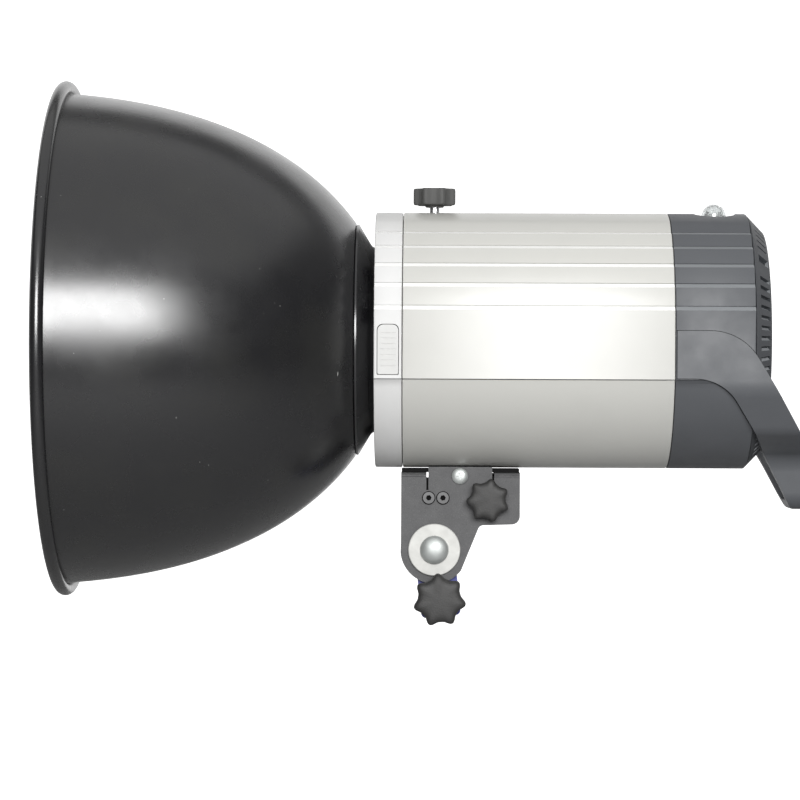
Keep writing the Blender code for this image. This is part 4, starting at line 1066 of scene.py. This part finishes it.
KEPT = {
    ALUMINIUM: ("front_plate", "chassis_plate"),
    ANODISED: ("umbrella_block",),
    BOARD: ("power_board", "control_board"),
    BRASS: ("umbrella_pad", "top_pad", "stand_pad"),
    BUTTON: ("test_button", "model_button", "cell_button"),
    CERAMIC: ("lamp_socket", "ignition_coil"),
    DARK: ("fan_frame", "fan_rotor", "fuse_holder", "mains_inlet", "switch_body"),
    FIBRE: ("friction_disc_near", "friction_disc_far"),
    FROSTED: ("glass_dome",),
    GLASS: ("modelling_lamp", "flash_tube"),
    KNOB: ("power_dial", "fuse_cap", "power_rocker"),
    MARK: ("photocell_sensor",),
    PANEL: ("control_panel",),
    RED: ("display_window",),
    SLEEVE: ("capacitor_near", "capacitor_far"),
    STEEL: ("umbrella_stud", "top_stud", "stand_stud", "sync_socket", "inlet_contacts"),
    WINDING: ("charging_choke",),
}


def kept_nodes():
    """Gives each CAD node that still shows its material and soft edges."""
    for material, names in KEPT.items():
        for name in names:
            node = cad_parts[name]
            node.data.materials.clear()
            node.data.materials.append(material)
            bevel(node, 0.25, 2, 35.0)


# ---------------------------------------------------------------- stage


def plain(name, colour, glow):
    """A plain matte stage material that may glow."""
    made = bpy.data.materials.new(name)
    made.use_nodes = True
    shader = made.node_tree.nodes["Principled BSDF"]
    shader.inputs["Base Color"].default_value = (*colour, 1.0)
    shader.inputs["Roughness"].default_value = 0.9
    shader.inputs["Emission Color"].default_value = (1.0, 1.0, 1.0, 1.0)
    shader.inputs["Emission Strength"].default_value = glow
    return made


def sheet(name, corners, material):
    """A flat stage sheet."""
    mesh = bpy.data.meshes.new(name)
    mesh.from_pydata(corners, [], [tuple(range(len(corners)))])
    mesh.materials.append(material)
    made = place_object(name, mesh)


def stage():
    """A light grey floor before a white backdrop, and soft light."""
    low, high, front, back, wide = -0.62, 3.4, -4.0, 3.4, 12.0
    floor = [(-wide, front, low), (wide, front, low), (wide, back, low), (-wide, back, low)]
    sheet("floor", floor, plain("floor_matte", (0.33, 0.33, 0.33), 0.0))
    backdrop = [(-wide, back, low), (wide, back, low), (wide, back, high), (-wide, back, high)]
    sheet("backdrop", backdrop, plain("backdrop_matte", (0.8, 0.8, 0.8), 1.05))
    world = bpy.data.worlds.new("studio")
    world.use_nodes = True
    background = world.node_tree.nodes["Background"]
    background.inputs["Color"].default_value = (1.0, 1.0, 1.0, 1.0)
    background.inputs["Strength"].default_value = 0.1
    bpy.context.scene.world = world
    lamp("key", (0.18, -2.24, HEAD.z + 0.47), (1.35, 0.8), 67.0)
    lamp("top", (0.0, -0.4, 1.8), (4.0, 3.0), 23.0)


def lamp(name, place, size, power):
    """A soft box aimed at the object."""
    data = bpy.data.lights.new(name, "AREA")
    data.shape = "RECTANGLE"
    data.size, data.size_y = size
    data.energy = power
    made = place_object(name, data)
    made.location = place
    aim = Vector((0.0, 0.0, HEAD.z)) - made.location
    made.rotation_euler = aim.to_track_quat("-Z", "Y").to_euler()


def camera():
    """A long lens nearly square to the casing's side, a little below the strobe axis."""
    data = bpy.data.cameras.new("camera")
    data.lens = 136.1
    data.sensor_width = 36.0
    made = place_object("camera", data)
    made.location = HEAD + Vector((0.0, -1845.0, -36.6)) * MM
    yaw, roll = math.radians(0.64), math.radians(0.25)
    made.rotation_euler = (Matrix.Rotation(yaw, 4, "Z") @ Matrix.Rotation(math.pi / 2, 4, "X")
                           @ Matrix.Rotation(roll, 4, "Z")).to_euler()
    bpy.context.scene.camera = made


bpy.context.scene.view_settings.view_transform = "Standard"
reflector()
casing()
photocell()
knobs()
tilt_bracket()
bracket_screws()
pivot()
receiver()
panel_trim()
kept_nodes()
stage()
camera()
